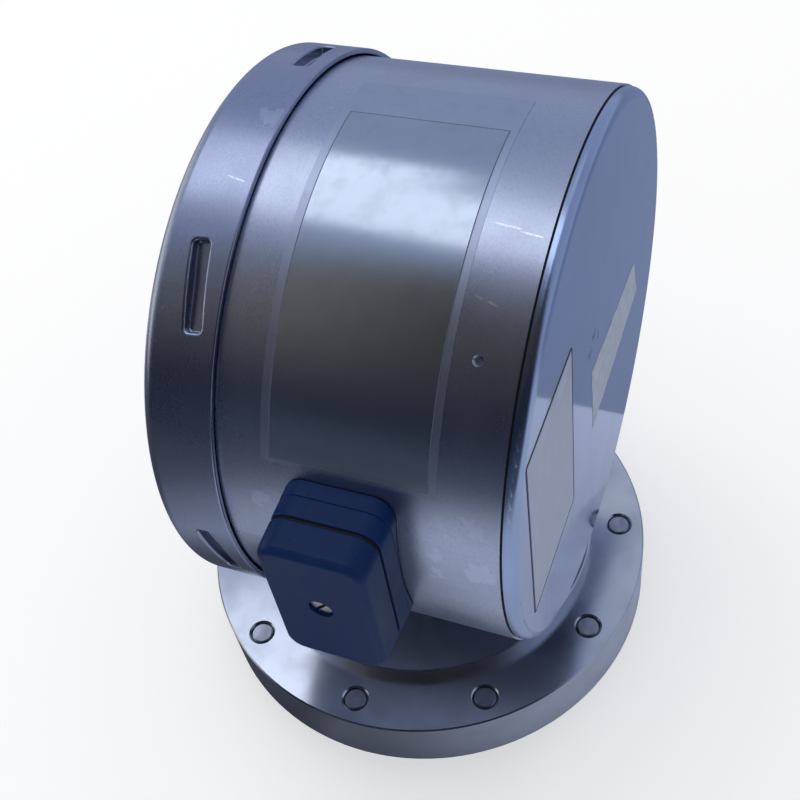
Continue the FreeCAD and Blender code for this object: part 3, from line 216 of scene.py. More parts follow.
def grain(tree, place, size, detail=2.0):
    """A noise whose lumps have the given size in millimetres, alike or different along X, Y and Z."""
    sizes = size if isinstance(size, tuple) else (size, size, size)
    stretched = add(tree, "Mapping", {"Vector": place, "Scale": tuple(1.0 / edge for edge in sizes)})
    return add(tree, "TexNoise", {"Vector": stretched, "Scale": 1.0, "Detail": detail})


def on_case(degrees, along, radius=CASE_RADIUS):
    """A point on the case in millimetres, by its angle above the connector side and place along the axis."""
    angle = math.radians(degrees)
    return (radius / MM * math.cos(angle), along, AXIS_HEIGHT / MM + radius / MM * math.sin(angle))


def stains(tree, place, spots):
    """A mask of uneven spots, each given by its middle and radius in millimetres."""
    lumps = grain(tree, place, 2.2)
    frayed = add(tree, "MapRange", {0: lumps, 1: 0.25, 2: 0.75, 3: -1.6, 4: 1.6}, **SMOOTH)
    mask = 0.0
    for middle, radius in spots:
        far = add(tree, "VectorMath", {0: place, 1: middle}, operation="DISTANCE")
        far = add(tree, "Math", {0: far, 1: frayed}, operation="ADD")
        spot = add(tree, "MapRange", {0: far, 1: radius + 0.7, 2: radius - 0.7, 3: 0.0, 4: 0.5}, **SMOOTH)
        mask = add(tree, "Math", {0: mask, 1: spot}, operation="MAXIMUM")
    return mask


def scratches(tree, place, lines):
    """A mask of thin scratches, each given by its two ends and its half width in millimetres."""
    lumps = grain(tree, place, 0.9)
    frayed = add(tree, "MapRange", {0: lumps, 1: 0.3, 2: 0.7, 3: 0.2, 4: 1.0}, **SMOOTH)
    mask = 0.0
    for start, end, half in lines:
        run = (Vector(end) - Vector(start)).length
        near = add(tree, "VectorMath", {0: place, 1: start}, operation="DISTANCE")
        far = add(tree, "VectorMath", {0: place, 1: end}, operation="DISTANCE")
        path = add(tree, "Math", {0: near, 1: far}, operation="ADD")
        line = add(tree, "MapRange", {0: path, 1: run + 2.0 * half * half / run, 2: run}, **SMOOTH)
        mask = add(tree, "Math", {0: mask, 1: line}, operation="MAXIMUM")
    return add(tree, "Math", {0: mask, 1: frayed}, operation="MULTIPLY")


def nicks(tree, place):
    """A mask of nicks and dust: dots a quarter of a millimetre in radius, about one on a 16 mm square."""
    cell = 5.0
    far = add(tree, "TexVoronoi", {"Vector": place, "Scale": 1.0 / cell})
    return add(tree, "MapRange", {0: far, 1: 0.3 / cell, 2: 0.15 / cell, 3: 0.0, 4: 0.6}, **SMOOTH)


def dress(material, *names):
    """Gives CAD nodes a material."""
    for name in names:
        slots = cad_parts[name].data.materials
        slots.clear()
        slots.append(material)


def satin_sheet_steel(name, base, spots, lines):
    """Stainless sheet, ground to a satin: soft bands of light, with specks, stains and nicks, and scratches
    with a painted glint.
    """
    material, tree = new_material(name)
    place = in_mm(tree)
    # The grinding runs round the case. Its lines are finer in life: half a millimetre apart, they show.
    lay = grain(tree, place, (40.0, 0.5, 40.0))
    # Rubbed specks, a tenth of a millimetre wide in life: at 0.7 mm they show.
    specks = grain(tree, place, 0.7)
    clouds = grain(tree, place, 16.0, 4.0)
    marks = add(tree, "Math", {0: stains(tree, place, spots), 1: nicks(tree, place)}, operation="MAXIMUM")
    shade = add(tree, "MapRange", {0: clouds, 1: 0.3, 2: 0.7, 3: 0.0, 4: 0.6}, **SMOOTH)
    skin = add(tree, "Mix", {0: shade, 6: shaded(base), 7: shaded(base, 0.9)}, **COLOUR)
    worn = add(tree, "MapRange", {0: specks, 1: 0.4, 2: 0.7, 3: 0.0, 4: 0.5}, **SMOOTH)
    skin = add(tree, "Mix", {0: worn, 6: skin, 7: shaded(base, 0.8)}, **COLOUR)
    skin = add(tree, "Mix", {0: marks, 6: skin, 7: shaded(base, 1.3)}, **COLOUR)
    # The scratches are real marks; their near-white colour is a painted glint.
    skin = add(tree, "Mix", {0: scratches(tree, place, lines), 6: skin, 7: shaded(base, 2.0)}, **COLOUR)
    gloss = add(tree, "MapRange", {0: clouds, 1: 0.3, 2: 0.7, 3: 0.25, 4: 0.3}, **SMOOTH)
    rough = add(tree, "Math", {0: marks, 1: 0.1, 2: gloss}, operation="MULTIPLY_ADD")
    rough = add(tree, "Math", {0: lay, 1: 0.03, 2: rough}, operation="MULTIPLY_ADD")
    surface = add(tree, "BsdfPrincipled", {"Base Color": skin, "Metallic": 1.0, "Roughness": rough})
    add(tree, "OutputMaterial", {"Surface": surface})
    return material


def bright_sheet_steel(name, base, residue):
    """Stainless sheet with its bright rolled skin: a dull mirror, duller on its rim, with rests of glue."""
    material, tree = new_material(name)
    place = in_mm(tree)
    clouds = grain(tree, place, 22.0, 4.0)
    wave = grain(tree, place, 30.0, 1.0)
    across = add(tree, "Mapping", {
        "Vector": place, "Location": (0.0, 0.0, -AXIS_HEIGHT / MM), "Scale": (1.0, 0.0, 1.0)})
    radius = add(tree, "VectorMath", {0: across}, operation="LENGTH")
    flat = (REAR_RADIUS - REAR_ROUNDING) / MM
    rim = add(tree, "MapRange", {0: radius, 1: flat - 0.6, 2: flat + 0.6, 3: 0.0, 4: 0.13}, **SMOOTH)
    glue = stains(tree, place, residue)
    gloss = add(tree, "MapRange", {0: clouds, 1: 0.35, 2: 0.7, 3: 0.08, 4: 0.12}, **SMOOTH)
    rough = add(tree, "Math", {0: gloss, 1: rim}, operation="ADD")
    rough = add(tree, "Math", {0: glue, 1: 0.5, 2: rough}, operation="MULTIPLY_ADD")
    shade = add(tree, "MapRange", {0: clouds, 1: 0.4, 2: 0.7}, **SMOOTH)
    skin = add(tree, "Mix", {0: shade, 6: shaded(base), 7: shaded(base, 0.92)}, **COLOUR)
    skin = add(tree, "Mix", {0: glue, 6: skin, 7: shaded(base, 0.12)}, **COLOUR)
    bump = add(tree, "Bump", {"Strength": 0.03, "Distance": 2.0 * MM, "Height": wave})
    surface = add(tree, "BsdfPrincipled", {
        "Base Color": skin, "Metallic": 1.0, "Roughness": rough, "Normal": bump})
    add(tree, "OutputMaterial", {"Surface": surface})
    return material


def turned_steel(name, base):
    """Stainless steel turned on a lathe: fine rings from the tool fan the light out across them."""
    material, tree = new_material(name)
    place = in_mm(tree)
    flat = add(tree, "VectorMath", {0: place, 1: (1.0, 1.0, 0.0)}, operation="MULTIPLY")
    radius = add(tree, "VectorMath", {0: flat}, operation="LENGTH")
    # The tool marks are a tenth of a millimetre apart in life: 0.6 mm apart, they show.
    rings = add(tree, "TexNoise", {"W": radius, "Scale": 1.0 / 0.6, "Detail": 3.0}, noise_dimensions="1D")
    clouds = grain(tree, place, 14.0, 4.0)
    shade = add(tree, "MapRange", {0: clouds, 1: 0.35, 2: 0.7}, **SMOOTH)
    skin = add(tree, "Mix", {0: shade, 6: shaded(base), 7: shaded(base, 0.88)}, **COLOUR)
    gloss = add(tree, "MapRange", {0: clouds, 1: 0.35, 2: 0.7, 3: 0.18, 4: 0.24}, **SMOOTH)
    bump = add(tree, "Bump", {"Strength": 0.015, "Distance": 0.2 * MM, "Height": rings})
    around = add(tree, "Tangent", direction_type="RADIAL", axis="Z")
    surface = add(tree, "BsdfPrincipled", {
        "Base Color": skin, "Metallic": 1.0, "Roughness": gloss, "Normal": bump,
        "Anisotropic": 0.6, "Anisotropic Rotation": 0.25, "Tangent": around})
    add(tree, "OutputMaterial", {"Surface": surface})
    return material


def moulded_plastic(name, base):
    """Glass-filled polyamide, moulded in an eroded tool: a fine grain that spreads the gloss, and dust."""
    material, tree = new_material(name)
    place = in_mm(tree)
    # The tool leaves a grain of about a tenth of a millimetre in life: at half a millimetre it shows.
    pores = grain(tree, place, 0.5)
    clouds = grain(tree, place, 9.0, 4.0)
    worn = add(tree, "MapRange", {0: clouds, 1: 0.35, 2: 0.75, 3: 0.0, 4: 0.35}, **SMOOTH)
    skin = add(tree, "Mix", {0: worn, 6: shaded(base), 7: shaded(base, 1.5, 0.002)}, **COLOUR)
    flecks = grain(tree, place, 1.1, 3.0)
    dust = add(tree, "MapRange", {0: flecks, 1: 0.66, 2: 0.74, 3: 0.0, 4: 0.35}, **SMOOTH)
    skin = add(tree, "Mix", {0: dust, 6: skin, 7: shaded(base, 2.2, 0.02)}, **COLOUR)
    rough = add(tree, "MapRange", {0: clouds, 1: 0.3, 2: 0.7, 3: 0.3, 4: 0.4}, **SMOOTH)
    bump = add(tree, "Bump", {"Strength": 0.12, "Distance": 0.2 * MM, "Height": pores})
    surface = add(tree, "BsdfPrincipled", {
        "Base Color": skin, "Roughness": rough, "IOR": 1.53, "Specular IOR Level": 0.12, "Normal": bump})
    add(tree, "OutputMaterial", {"Surface": surface})
    return material


def plain_metal(name, code, low, high, size):
    """A drawn, rolled, sawn, tumbled or plated metal: its gloss changes in clouds of the given size in mm."""
    material, tree = new_material(name)
    clouds = grain(tree, in_mm(tree), size, 3.0)
    base = linear(code)
    shade = add(tree, "MapRange", {0: clouds, 1: 0.35, 2: 0.7}, **SMOOTH)
    skin = add(tree, "Mix", {0: shade, 6: shaded(base), 7: shaded(base, 0.75)}, **COLOUR)
    rough = add(tree, "MapRange", {0: clouds, 1: 0.3, 2: 0.7, 3: low, 4: high}, **SMOOTH)
    surface = add(tree, "BsdfPrincipled", {"Base Color": skin, "Metallic": 1.0, "Roughness": rough})
    add(tree, "OutputMaterial", {"Surface": surface})
    return material


def plain_solid(name, base, low, high, size):
    """A rubber, resin, print, paper or laminate: dull, with a mottle of the given size in millimetres."""
    material, tree = new_material(name)
    mottle = grain(tree, in_mm(tree), size, 3.0)
    shade = add(tree, "MapRange", {0: mottle, 1: 0.35, 2: 0.7}, **SMOOTH)
    skin = add(tree, "Mix", {0: shade, 6: shaded(base), 7: shaded(base, 1.15, 0.003)}, **COLOUR)
    rough = add(tree, "MapRange", {0: mottle, 1: 0.3, 2: 0.7, 3: low, 4: high}, **SMOOTH)
    bump = add(tree, "Bump", {"Strength": 0.1, "Distance": 0.2 * MM, "Height": mottle})
    surface = add(tree, "BsdfPrincipled", {
        "Base Color": skin, "Roughness": rough, "IOR": 1.5, "Normal": bump})
    add(tree, "OutputMaterial", {"Surface": surface})
    return material


def label_foil(name, base, low, high, wave_size, wave_depth):
    """Polyester, metallised or clear on steel, pressed on by hand: bright, a little wavy and rubbed."""
    material, tree = new_material(name)
    place = in_mm(tree)
    wave = grain(tree, place, wave_size)
    rub = grain(tree, place, 5.0, 4.0)
    shade = add(tree, "MapRange", {0: rub, 1: 0.45, 2: 0.75}, **SMOOTH)
    skin = add(tree, "Mix", {0: shade, 6: shaded(base), 7: shaded(base, 0.92)}, **COLOUR)
    rough = add(tree, "MapRange", {0: rub, 1: 0.3, 2: 0.75, 3: low, 4: high}, **SMOOTH)
    bump = add(tree, "Bump", {"Strength": 0.2, "Distance": wave_depth * MM, "Height": wave})
    surface = add(tree, "BsdfPrincipled", {
        "Base Color": skin, "Metallic": 0.97, "Roughness": rough, "Normal": bump})
    add(tree, "OutputMaterial", {"Surface": surface})
    return material


def finish_piece(name, mesh, materials):
    """Turns a bmesh into a piece that rides on the root body, smooth but for its sharp edges."""
    bmesh.ops.recalc_face_normals(mesh, faces=mesh.faces)
    for face in mesh.faces:
        face.smooth = True
    for edge in mesh.edges:
        edge.smooth = edge.calc_face_angle(0.0) < SHARP
    data = bpy.data.meshes.new(name)
    mesh.to_mesh(data)
    mesh.free()
    for material in materials:
        data.materials.append(material)
    piece = bpy.data.objects.new(name, data)
    bpy.context.scene.collection.objects.link(piece)
    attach(piece, "root")


def curved_sheet(low, high, front, rear, inside, thick):
    """A sheet round the case: its cross-section, spun about the case axis."""
    mesh = bmesh.new()
    middle = Vector((0.0, 0.0, AXIS_HEIGHT))
    start = Vector((math.cos(low), 0.0, math.sin(low)))
    section = ((inside, front), (inside, rear), (inside + thick, rear), (inside + thick, front))
    corners = [
        mesh.verts.new(middle + start * radius + Vector((0.0, along, 0.0)))
        for radius, along in section]
    face = mesh.faces.new(corners)
    steps = round(math.degrees(high - low))
    bmesh.ops.spin(mesh, geom=corners + face.edges[:] + [face], cent=middle, axis=(0.0, -1.0, 0.0),
                   angle=high - low, steps=steps)
    return mesh


def mark_rim(mesh, rim):
    """Gives the outer rim of a sheet round the case its second material."""
    bmesh.ops.recalc_face_normals(mesh, faces=mesh.faces)
    outer = []
    for face in mesh.faces:
        away = face.calc_center_median() - Vector((0.0, 0.0, AXIS_HEIGHT))
        away.y = 0.0
        if face.normal.dot(away.normalized()) > OUTWARD:
            outer.append(face)
    for face in bmesh.ops.inset_region(mesh, faces=outer, thickness=rim, use_even_offset=True)["faces"]:
        face.material_index = 1


def thicken(mesh, lift):
    """Gives a flat sheet its thickness."""
    top = bmesh.ops.extrude_face_region(mesh, geom=mesh.faces[:])["geom"]
    verts = [item for item in top if isinstance(item, bmesh.types.BMVert)]
    bmesh.ops.translate(mesh, vec=lift, verts=verts)


class TRANSMITTER_OT_flange(bpy.types.Operator):
    """Gives the flanges and the stem the finish of turned steel, and the flange screws a tumbled finish"""

    bl_idname = "transmitter.flange"
    bl_label = "Flange finish"

    def execute(self, context):
        colours = context.scene.transmitter_colours
        turned = turned_steel("Stainless steel, turned", colours.turned)
        dress(turned, "lower_flange", "upper_flange", "stem")
        # Screw ends, cut and tumbled: a grey gloss without a grain.
        dress(plain_metal("Stainless steel, tumbled", "A9AEB9", 0.28, 0.4, 4.0), "flange_screws")
        return {"FINISHED"}


class TRANSMITTER_OT_case(bpy.types.Operator):
    """Gives the case, the bayonet ring and the covers the finish of stainless sheet"""

    bl_idname = "transmitter.case"
    bl_label = "Case finish"

    def execute(self, context):
        colours = context.scene.transmitter_colours
        spots = [
            (on_case(16.2, 45.4), 1.6), (on_case(17.3, 52.8), 2.0), (on_case(15.7, 55.1), 2.2),
            (on_case(7.8, 44.5), 2.0), (on_case(5.5, 56.2), 3.6), (on_case(3.1, 44.3), 1.8),
            (on_case(11.9, -3.9), 2.2),
        ]
        lines = [
            (on_case(70.4, 47.6), on_case(69.9, 54.4), 0.35),
            (on_case(69.5, 54.0), on_case(69.0, 59.9), 0.35),
            (on_case(57.4, 47.6), on_case(56.9, 49.4), 0.35),
            (on_case(56.8, 50.6), on_case(56.2, 53.1), 0.35),
        ]
        satin = satin_sheet_steel("Stainless sheet, satin, case", colours.sheet, spots, lines)
        dress(satin, "case")
        spots = [(on_case(85.2, -19.0, RING_RADIUS), 3.0)]
        lines = [(on_case(70.9, -22.4, RING_RADIUS), on_case(70.2, -17.2, RING_RADIUS), 0.4)]
        satin = satin_sheet_steel("Stainless sheet, satin, ring", colours.ring, spots, lines)
        dress(satin, "bayonet_ring")
        rear, axis = REAR_FACE / MM, AXIS_HEIGHT / MM
        residue = [
            ((8.5, rear, axis + 15.5), 1.5), ((4.0, rear, axis + 19.0), 0.9),
            ((-0.3, rear, axis + 14.5), 0.8),
        ]
        bright = bright_sheet_steel("Stainless sheet, bright", colours.polish, residue)
        dress(bright, "rear_cover", "front_cover")
        # Moulded seals: black and dull, a thin dark line in each seam.
        rubber = plain_solid("Nitrile rubber, moulded", linear("14161B"), 0.55, 0.7, 0.8)
        dress(rubber, "rear_seal", "front_gasket", "flange_seal")
        return {"FINISHED"}


class TRANSMITTER_OT_connector(bpy.types.Operator):
    """Gives the electrical connector its plastic, rubber and screws"""

    bl_idname = "transmitter.connector"
    bl_label = "Connector finish"

    def execute(self, context):
        colours = context.scene.transmitter_colours
        plastic = moulded_plastic("Polyamide, glass-filled, moulded", colours.plastic)
        dress(plastic, "connector_base", "connector_housing", "connector_cap")
        # Cut gasket: black, without gloss.
        rubber = plain_solid("Nitrile rubber, cut", linear("07090E"), 0.7, 0.85, 0.8)
        dress(rubber, "connector_gasket", "cable_grommet")
        # Nickel plate: a warm white gloss.
        nickel = plain_metal("Steel, nickel-plated", "C4C2C4", 0.25, 0.38, 1.5)
        dress(nickel, "connector_screw", "base_screws")
        # Terminal body: dark grey, half dull.
        grey = plain_solid("Polyamide, moulded, dark grey", linear("2A2C30"), 0.4, 0.55, 1.0)
        dress(grey, "terminal_block")
        # Terminal screws: brass shows through the nickel.
        dress(plain_metal("Brass, nickel-plated", "BDB49A", 0.25, 0.4, 1.5), "terminal_screws")
        return {"FINISHED"}


class TRANSMITTER_OT_inside(bpy.types.Operator):
    """Gives the pieces inside the case and between the flanges their finishes"""

    bl_idname = "transmitter.inside"
    bl_label = "Inner finish"

    def execute(self, context):
        # Sawn aluminium: pale and dull.
        sawn = plain_metal("Aluminium, sawn", "B4B6B9", 0.3, 0.45, 3.0)
        dress(sawn, "stem_block", "mounting_plate", "coil_bracket")
        # Drawn brass: yellow, with a soft gloss.
        dress(plain_metal("Brass, drawn", "B99A5B", 0.25, 0.4, 2.0), "stem_nut", "standoffs")
        # Zinc plate: bluish and cloudy.
        dress(plain_metal("Steel, zinc-plated", "B2B6BC", 0.3, 0.42, 1.5), "plate_screws", "board_screws")
        # Rolled spring steel: grey and glossy.
        dress(plain_metal("Spring steel, rolled", "A8ABB0", 0.2, 0.32, 5.0), "diaphragm", "armature")
        # Enamelled winding under varnish: brown and half glossy.
        dress(plain_solid("Copper wire, varnished", linear("4A2112"), 0.3, 0.45, 0.6), "coil")
        # Board: green solder resist over a glass weave.
        dress(plain_solid("Epoxy glass laminate", linear("1E4A2A"), 0.35, 0.5, 0.7), "circuit_board")
        # Potting: black, smooth from the pour.
        dress(plain_solid("Epoxy resin, cast", linear("17181A"), 0.3, 0.45, 3.0), "transmitter_module")
        return {"FINISHED"}


class TRANSMITTER_OT_side_label(bpy.types.Operator):
    """Lays the bare foil label on its clear film round the case"""

    bl_idname = "transmitter.side_label"
    bl_label = "Side label"

    def execute(self, context):
        colours = context.scene.transmitter_colours
        sizes = context.scene.transmitter_labels
        # A thin dark line round the foil's rim: painted shade at its edge.
        rim_shade = plain_solid("Foil rim, painted shade", linear("4B5268"), 0.5, 0.7, 1.0)
        inside = CASE_RADIUS + STICK
        mesh = curved_sheet(
            sizes.film_low, sizes.film_high, sizes.film_front, sizes.film_rear, inside, sizes.thick)
        # Clear film on the steel: like the sheet under it, a little greyer and duller.
        film = label_foil("Polyester film, clear, aged", colours.film, 0.36, 0.42, 20.0, 0.02)
        finish_piece("side_label_film", mesh, [film])
        inside += sizes.thick
        mesh = curved_sheet(
            sizes.foil_low, sizes.foil_high, sizes.foil_front, sizes.foil_rear, inside, sizes.thick)
        mark_rim(mesh, sizes.rim)
        foil = label_foil("Polyester foil, metallised", colours.foil, 0.16, 0.21, 14.0, 0.025)
        finish_piece("side_label_foil", mesh, [foil, rim_shade])
        return {"FINISHED"}


class TRANSMITTER_OT_rear_label(bpy.types.Operator):
    """Lays the bare label and a torn paper strip on the rear cover"""

    bl_idname = "transmitter.rear_label"
    bl_label = "Rear label"

    def execute(self, context):
        colours = context.scene.transmitter_colours
        sizes = context.scene.transmitter_labels
        lift = Vector((0.0, sizes.thick, 0.0))
        mesh = bmesh.new()
        bmesh.ops.create_grid(mesh, x_segments=1, y_segments=1, size=0.5)
        bmesh.ops.scale(mesh, vec=(sizes.rear_width, sizes.rear_height, 1.0), verts=mesh.verts)
        bmesh.ops.rotate(mesh, matrix=Matrix.Rotation(math.radians(-90.0), 3, "X"), verts=mesh.verts)
        bmesh.ops.bevel(
            mesh, geom=mesh.verts, offset=sizes.rear_corner, segments=4, profile=0.5, material=-1,
            affect="VERTICES")
        rim = bmesh.ops.inset_region(
            mesh, faces=mesh.faces[:], thickness=sizes.rear_line, use_boundary=True, use_even_offset=True)
        for face in rim["faces"]:
            face.material_index = 1
        place = Vector((sizes.rear_across, REAR_FACE + STICK, AXIS_HEIGHT + sizes.rear_up))
        bmesh.ops.translate(mesh, vec=place, verts=mesh.verts)
        thicken(mesh, lift)
        # Satin foil: pale grey and almost dull. Its printed line is dark and dull.
        foil = plain_solid("Polyester foil, satin", colours.rear_label, 0.4, 0.55, 6.0)
        ink = plain_solid("Printing ink, dark grey", linear("2E3340"), 0.5, 0.6, 0.8)
        finish_piece("rear_label", mesh, [foil, ink])

        mesh = bmesh.new()
        base = Vector((0.0, REAR_FACE + STICK, AXIS_HEIGHT))
        corners = [base + Vector((across * MM, 0.0, up * MM)) for across, up in STRIP_CORNERS]
        mesh.faces.new([mesh.verts.new(corner) for corner in corners])
        bmesh.ops.subdivide_edges(mesh, edges=mesh.edges[:], cuts=STRIP_CUTS, use_grid_fill=True)
        torn = random.Random(STRIP_SEED)
        for vert in mesh.verts:
            if vert.is_boundary:
                across = torn.uniform(-STRIP_FRAY, STRIP_FRAY) * MM
                up = torn.uniform(-STRIP_FRAY, STRIP_FRAY) * MM
                vert.co += Vector((across, 0.0, up))
        thicken(mesh, lift)
        # Torn paper, faded and rubbed: dull and blotchy.
        paper = plain_solid("Paper, faded", colours.paper, 0.6, 0.8, 2.5)
        finish_piece("rear_strip", mesh, [paper])
        return {"FINISHED"}


def stage_material(name, shade, glow):
    """A matt stage surface. A glow adds to what camera and mirror rays see of it, and lights nothing."""
    material, tree = new_material(name)
    matt = add(tree, "BsdfDiffuse", {"Color": shade + (1.0,)})
    path = add(tree, "LightPath").node.outputs
    seen = add(tree, "Math", {0: path["Is Camera Ray"], 1: path["Is Glossy Ray"]}, operation="MAXIMUM")
    seen = add(tree, "Math", {0: seen, 1: path["Is Transmission Ray"]}, operation="MAXIMUM")
    share = add(tree, "Math", {0: seen, 1: glow}, operation="MULTIPLY")
    light = add(tree, "Emission", {"Color": (1.0, 1.0, 1.0, 1.0), "Strength": share})
    add(tree, "OutputMaterial", {"Surface": add(tree, "AddShader", {0: matt, 1: light})})
    return material


def mirrored_cloth():
    """Cloth that only mirrors show, a painted reflection of the room beside the camera: dark, warm above,
    paler on the ring's side, with painted light at its foot, and soft edges.
    """
    material, tree = new_material("Cloth, painted reflection")
    place = in_mm(tree)
    parts = add(tree, "SeparateXYZ", {0: place}).node.outputs
    height = parts["Z"]
    flat = add(tree, "VectorMath", {0: place, 1: (1.0, 1.0, 0.0)}, operation="MULTIPLY")
    way = add(tree, "VectorMath", {0: flat}, operation="NORMALIZE")
    halfway = CLOTH_START + CLOTH_SWEEP / 2.0
    middle = (math.cos(halfway), math.sin(halfway), 0.0)
    facing = add(tree, "VectorMath", {0: way, 1: middle}, operation="DOT_PRODUCT")
    low = add(tree, "MapRange", {0: height, 1: CLOTH_TOP[2] / MM, 2: 1050.0}, **SMOOTH)
    near = add(tree, "MapRange", {0: facing, 1: 0.25, 2: 0.65}, **SMOOTH)
    mask = add(tree, "Math", {0: low, 1: near}, operation="MULTIPLY")
    warm = add(tree, "MapRange", {0: height, 1: 400.0, 2: 900.0}, **SMOOTH)
    shade = add(tree, "Mix", {0: warm, 6: shaded(linear("282E40")), 7: shaded(linear("48423D"))}, **COLOUR)
    aside = add(tree, "MapRange", {0: parts["Y"], 1: -170.0, 2: -400.0}, **SMOOTH)
    upper = add(tree, "MapRange", {0: height, 1: 300.0, 2: 850.0}, **SMOOTH)
    pale = add(tree, "Math", {0: aside, 1: upper}, operation="MULTIPLY")
    shade = add(tree, "Mix", {0: pale, 6: shade, 7: shaded(linear("8F8B82"))}, **COLOUR)
    # Painted light: the cloth is paler at its foot, near the table, as if lit there.
    lowest = add(tree, "MapRange", {0: height, 1: 380.0, 2: 150.0}, **SMOOTH)
    beside = add(tree, "MapRange", {0: parts["Y"], 1: -530.0, 2: -420.0}, **SMOOTH)
    painted_foot_light = add(tree, "Math", {0: lowest, 1: beside}, operation="MULTIPLY")
    shade = add(tree, "Mix", {0: painted_foot_light, 6: shade, 7: shaded(linear("525C70"))}, **COLOUR)
    clear = add(tree, "BsdfTransparent")
    cloth = add(tree, "BsdfDiffuse", {"Color": shade})
    add(tree, "OutputMaterial", {"Surface": add(tree, "MixShader", {0: mask, 1: clear, 2: cloth})})
    return material


def table_top():
    """Table that only mirrors show, a painted reflection: bluer behind the object, with painted shadow round
    and in front of the flange, darker beside the ring and far out.
    """
    material, tree = new_material("Table, slate blue, painted reflection")
    place = in_mm(tree)
    parts = add(tree, "SeparateXYZ", {0: place}).node.outputs
    behind = add(tree, "MapRange", {0: parts["X"], 1: -92.0, 2: -93.0}, **SMOOTH)
    shade = add(tree, "Mix", {0: behind, 6: shaded(linear("DCE5FA")), 7: shaded(linear("98A6C4"))}, **COLOUR)
    far = add(tree, "VectorMath", {0: place}, operation="LENGTH")
    # Painted shadow of the object on the table, round the flange and in front of it.
    near_shadow = add(tree, "MapRange", {0: far, 1: 205.0, 2: 120.0}, **SMOOTH)
    shadow = add(tree, "MapRange", {0: parts["Y"], 1: 40.0, 2: -30.0}, **SMOOTH)
    near_shadow = add(tree, "Math", {0: near_shadow, 1: shadow}, operation="MULTIPLY")
    # Painted contact shadow close under the flange's rim.
    under = add(tree, "MapRange", {0: far, 1: 130.0, 2: 95.0, 3: 0.0, 4: 0.8}, **SMOOTH)
    ahead = add(tree, "MapRange", {0: parts["Y"], 1: 80.0, 2: 0.0}, **SMOOTH)
    under = add(tree, "Math", {0: under, 1: ahead}, operation="MULTIPLY")
    near_shadow = add(tree, "Math", {0: near_shadow, 1: under}, operation="MAXIMUM")
    aside = add(tree, "MapRange", {0: parts["Y"], 1: -30.0, 2: -200.0}, **SMOOTH)
    out = add(tree, "MapRange", {0: parts["X"], 1: 300.0, 2: 1000.0}, **SMOOTH)
    dark = add(tree, "Math", {0: near_shadow, 1: aside}, operation="MAXIMUM")
    dark = add(tree, "Math", {0: dark, 1: out}, operation="MAXIMUM")
    front = add(tree, "MapRange", {0: parts["X"], 1: -20.0, 2: 60.0}, **SMOOTH)
    dark = add(tree, "Math", {0: dark, 1: front}, operation="MULTIPLY")
    shade = add(tree, "Mix", {0: dark, 6: shade, 7: shaded(linear("5C5F6A"))}, **COLOUR)
    add(tree, "OutputMaterial", {"Surface": add(tree, "BsdfDiffuse", {"Color": shade})})
    return material


def stage_piece(name, mesh, material):
    """A piece of the stage."""
    data = bpy.data.meshes.new(name)
    mesh.to_mesh(data)
    mesh.free()
    data.materials.append(material)
    piece = bpy.data.objects.new(name, data)
    bpy.context.scene.collection.objects.link(piece)
    return piece


def mirror_piece(name, mesh, material):
    """A piece of the stage that only shows in mirrors."""
    piece = stage_piece(name, mesh, material)
    piece.visible_camera = False
    piece.visible_shadow = False
    piece.visible_diffuse = False


def softbox(name, place, width, depth, watts):
    """A soft area light that shines down."""
    box = bpy.data.lights.new(name, "AREA")
    box.shape = "RECTANGLE"
    box.size = width
    box.size_y = depth
    box.energy = watts
    box.color = LAMP_WHITE
    lamp = bpy.data.objects.new(name, box)
    lamp.location = place
    bpy.context.scene.collection.objects.link(lamp)
    return lamp


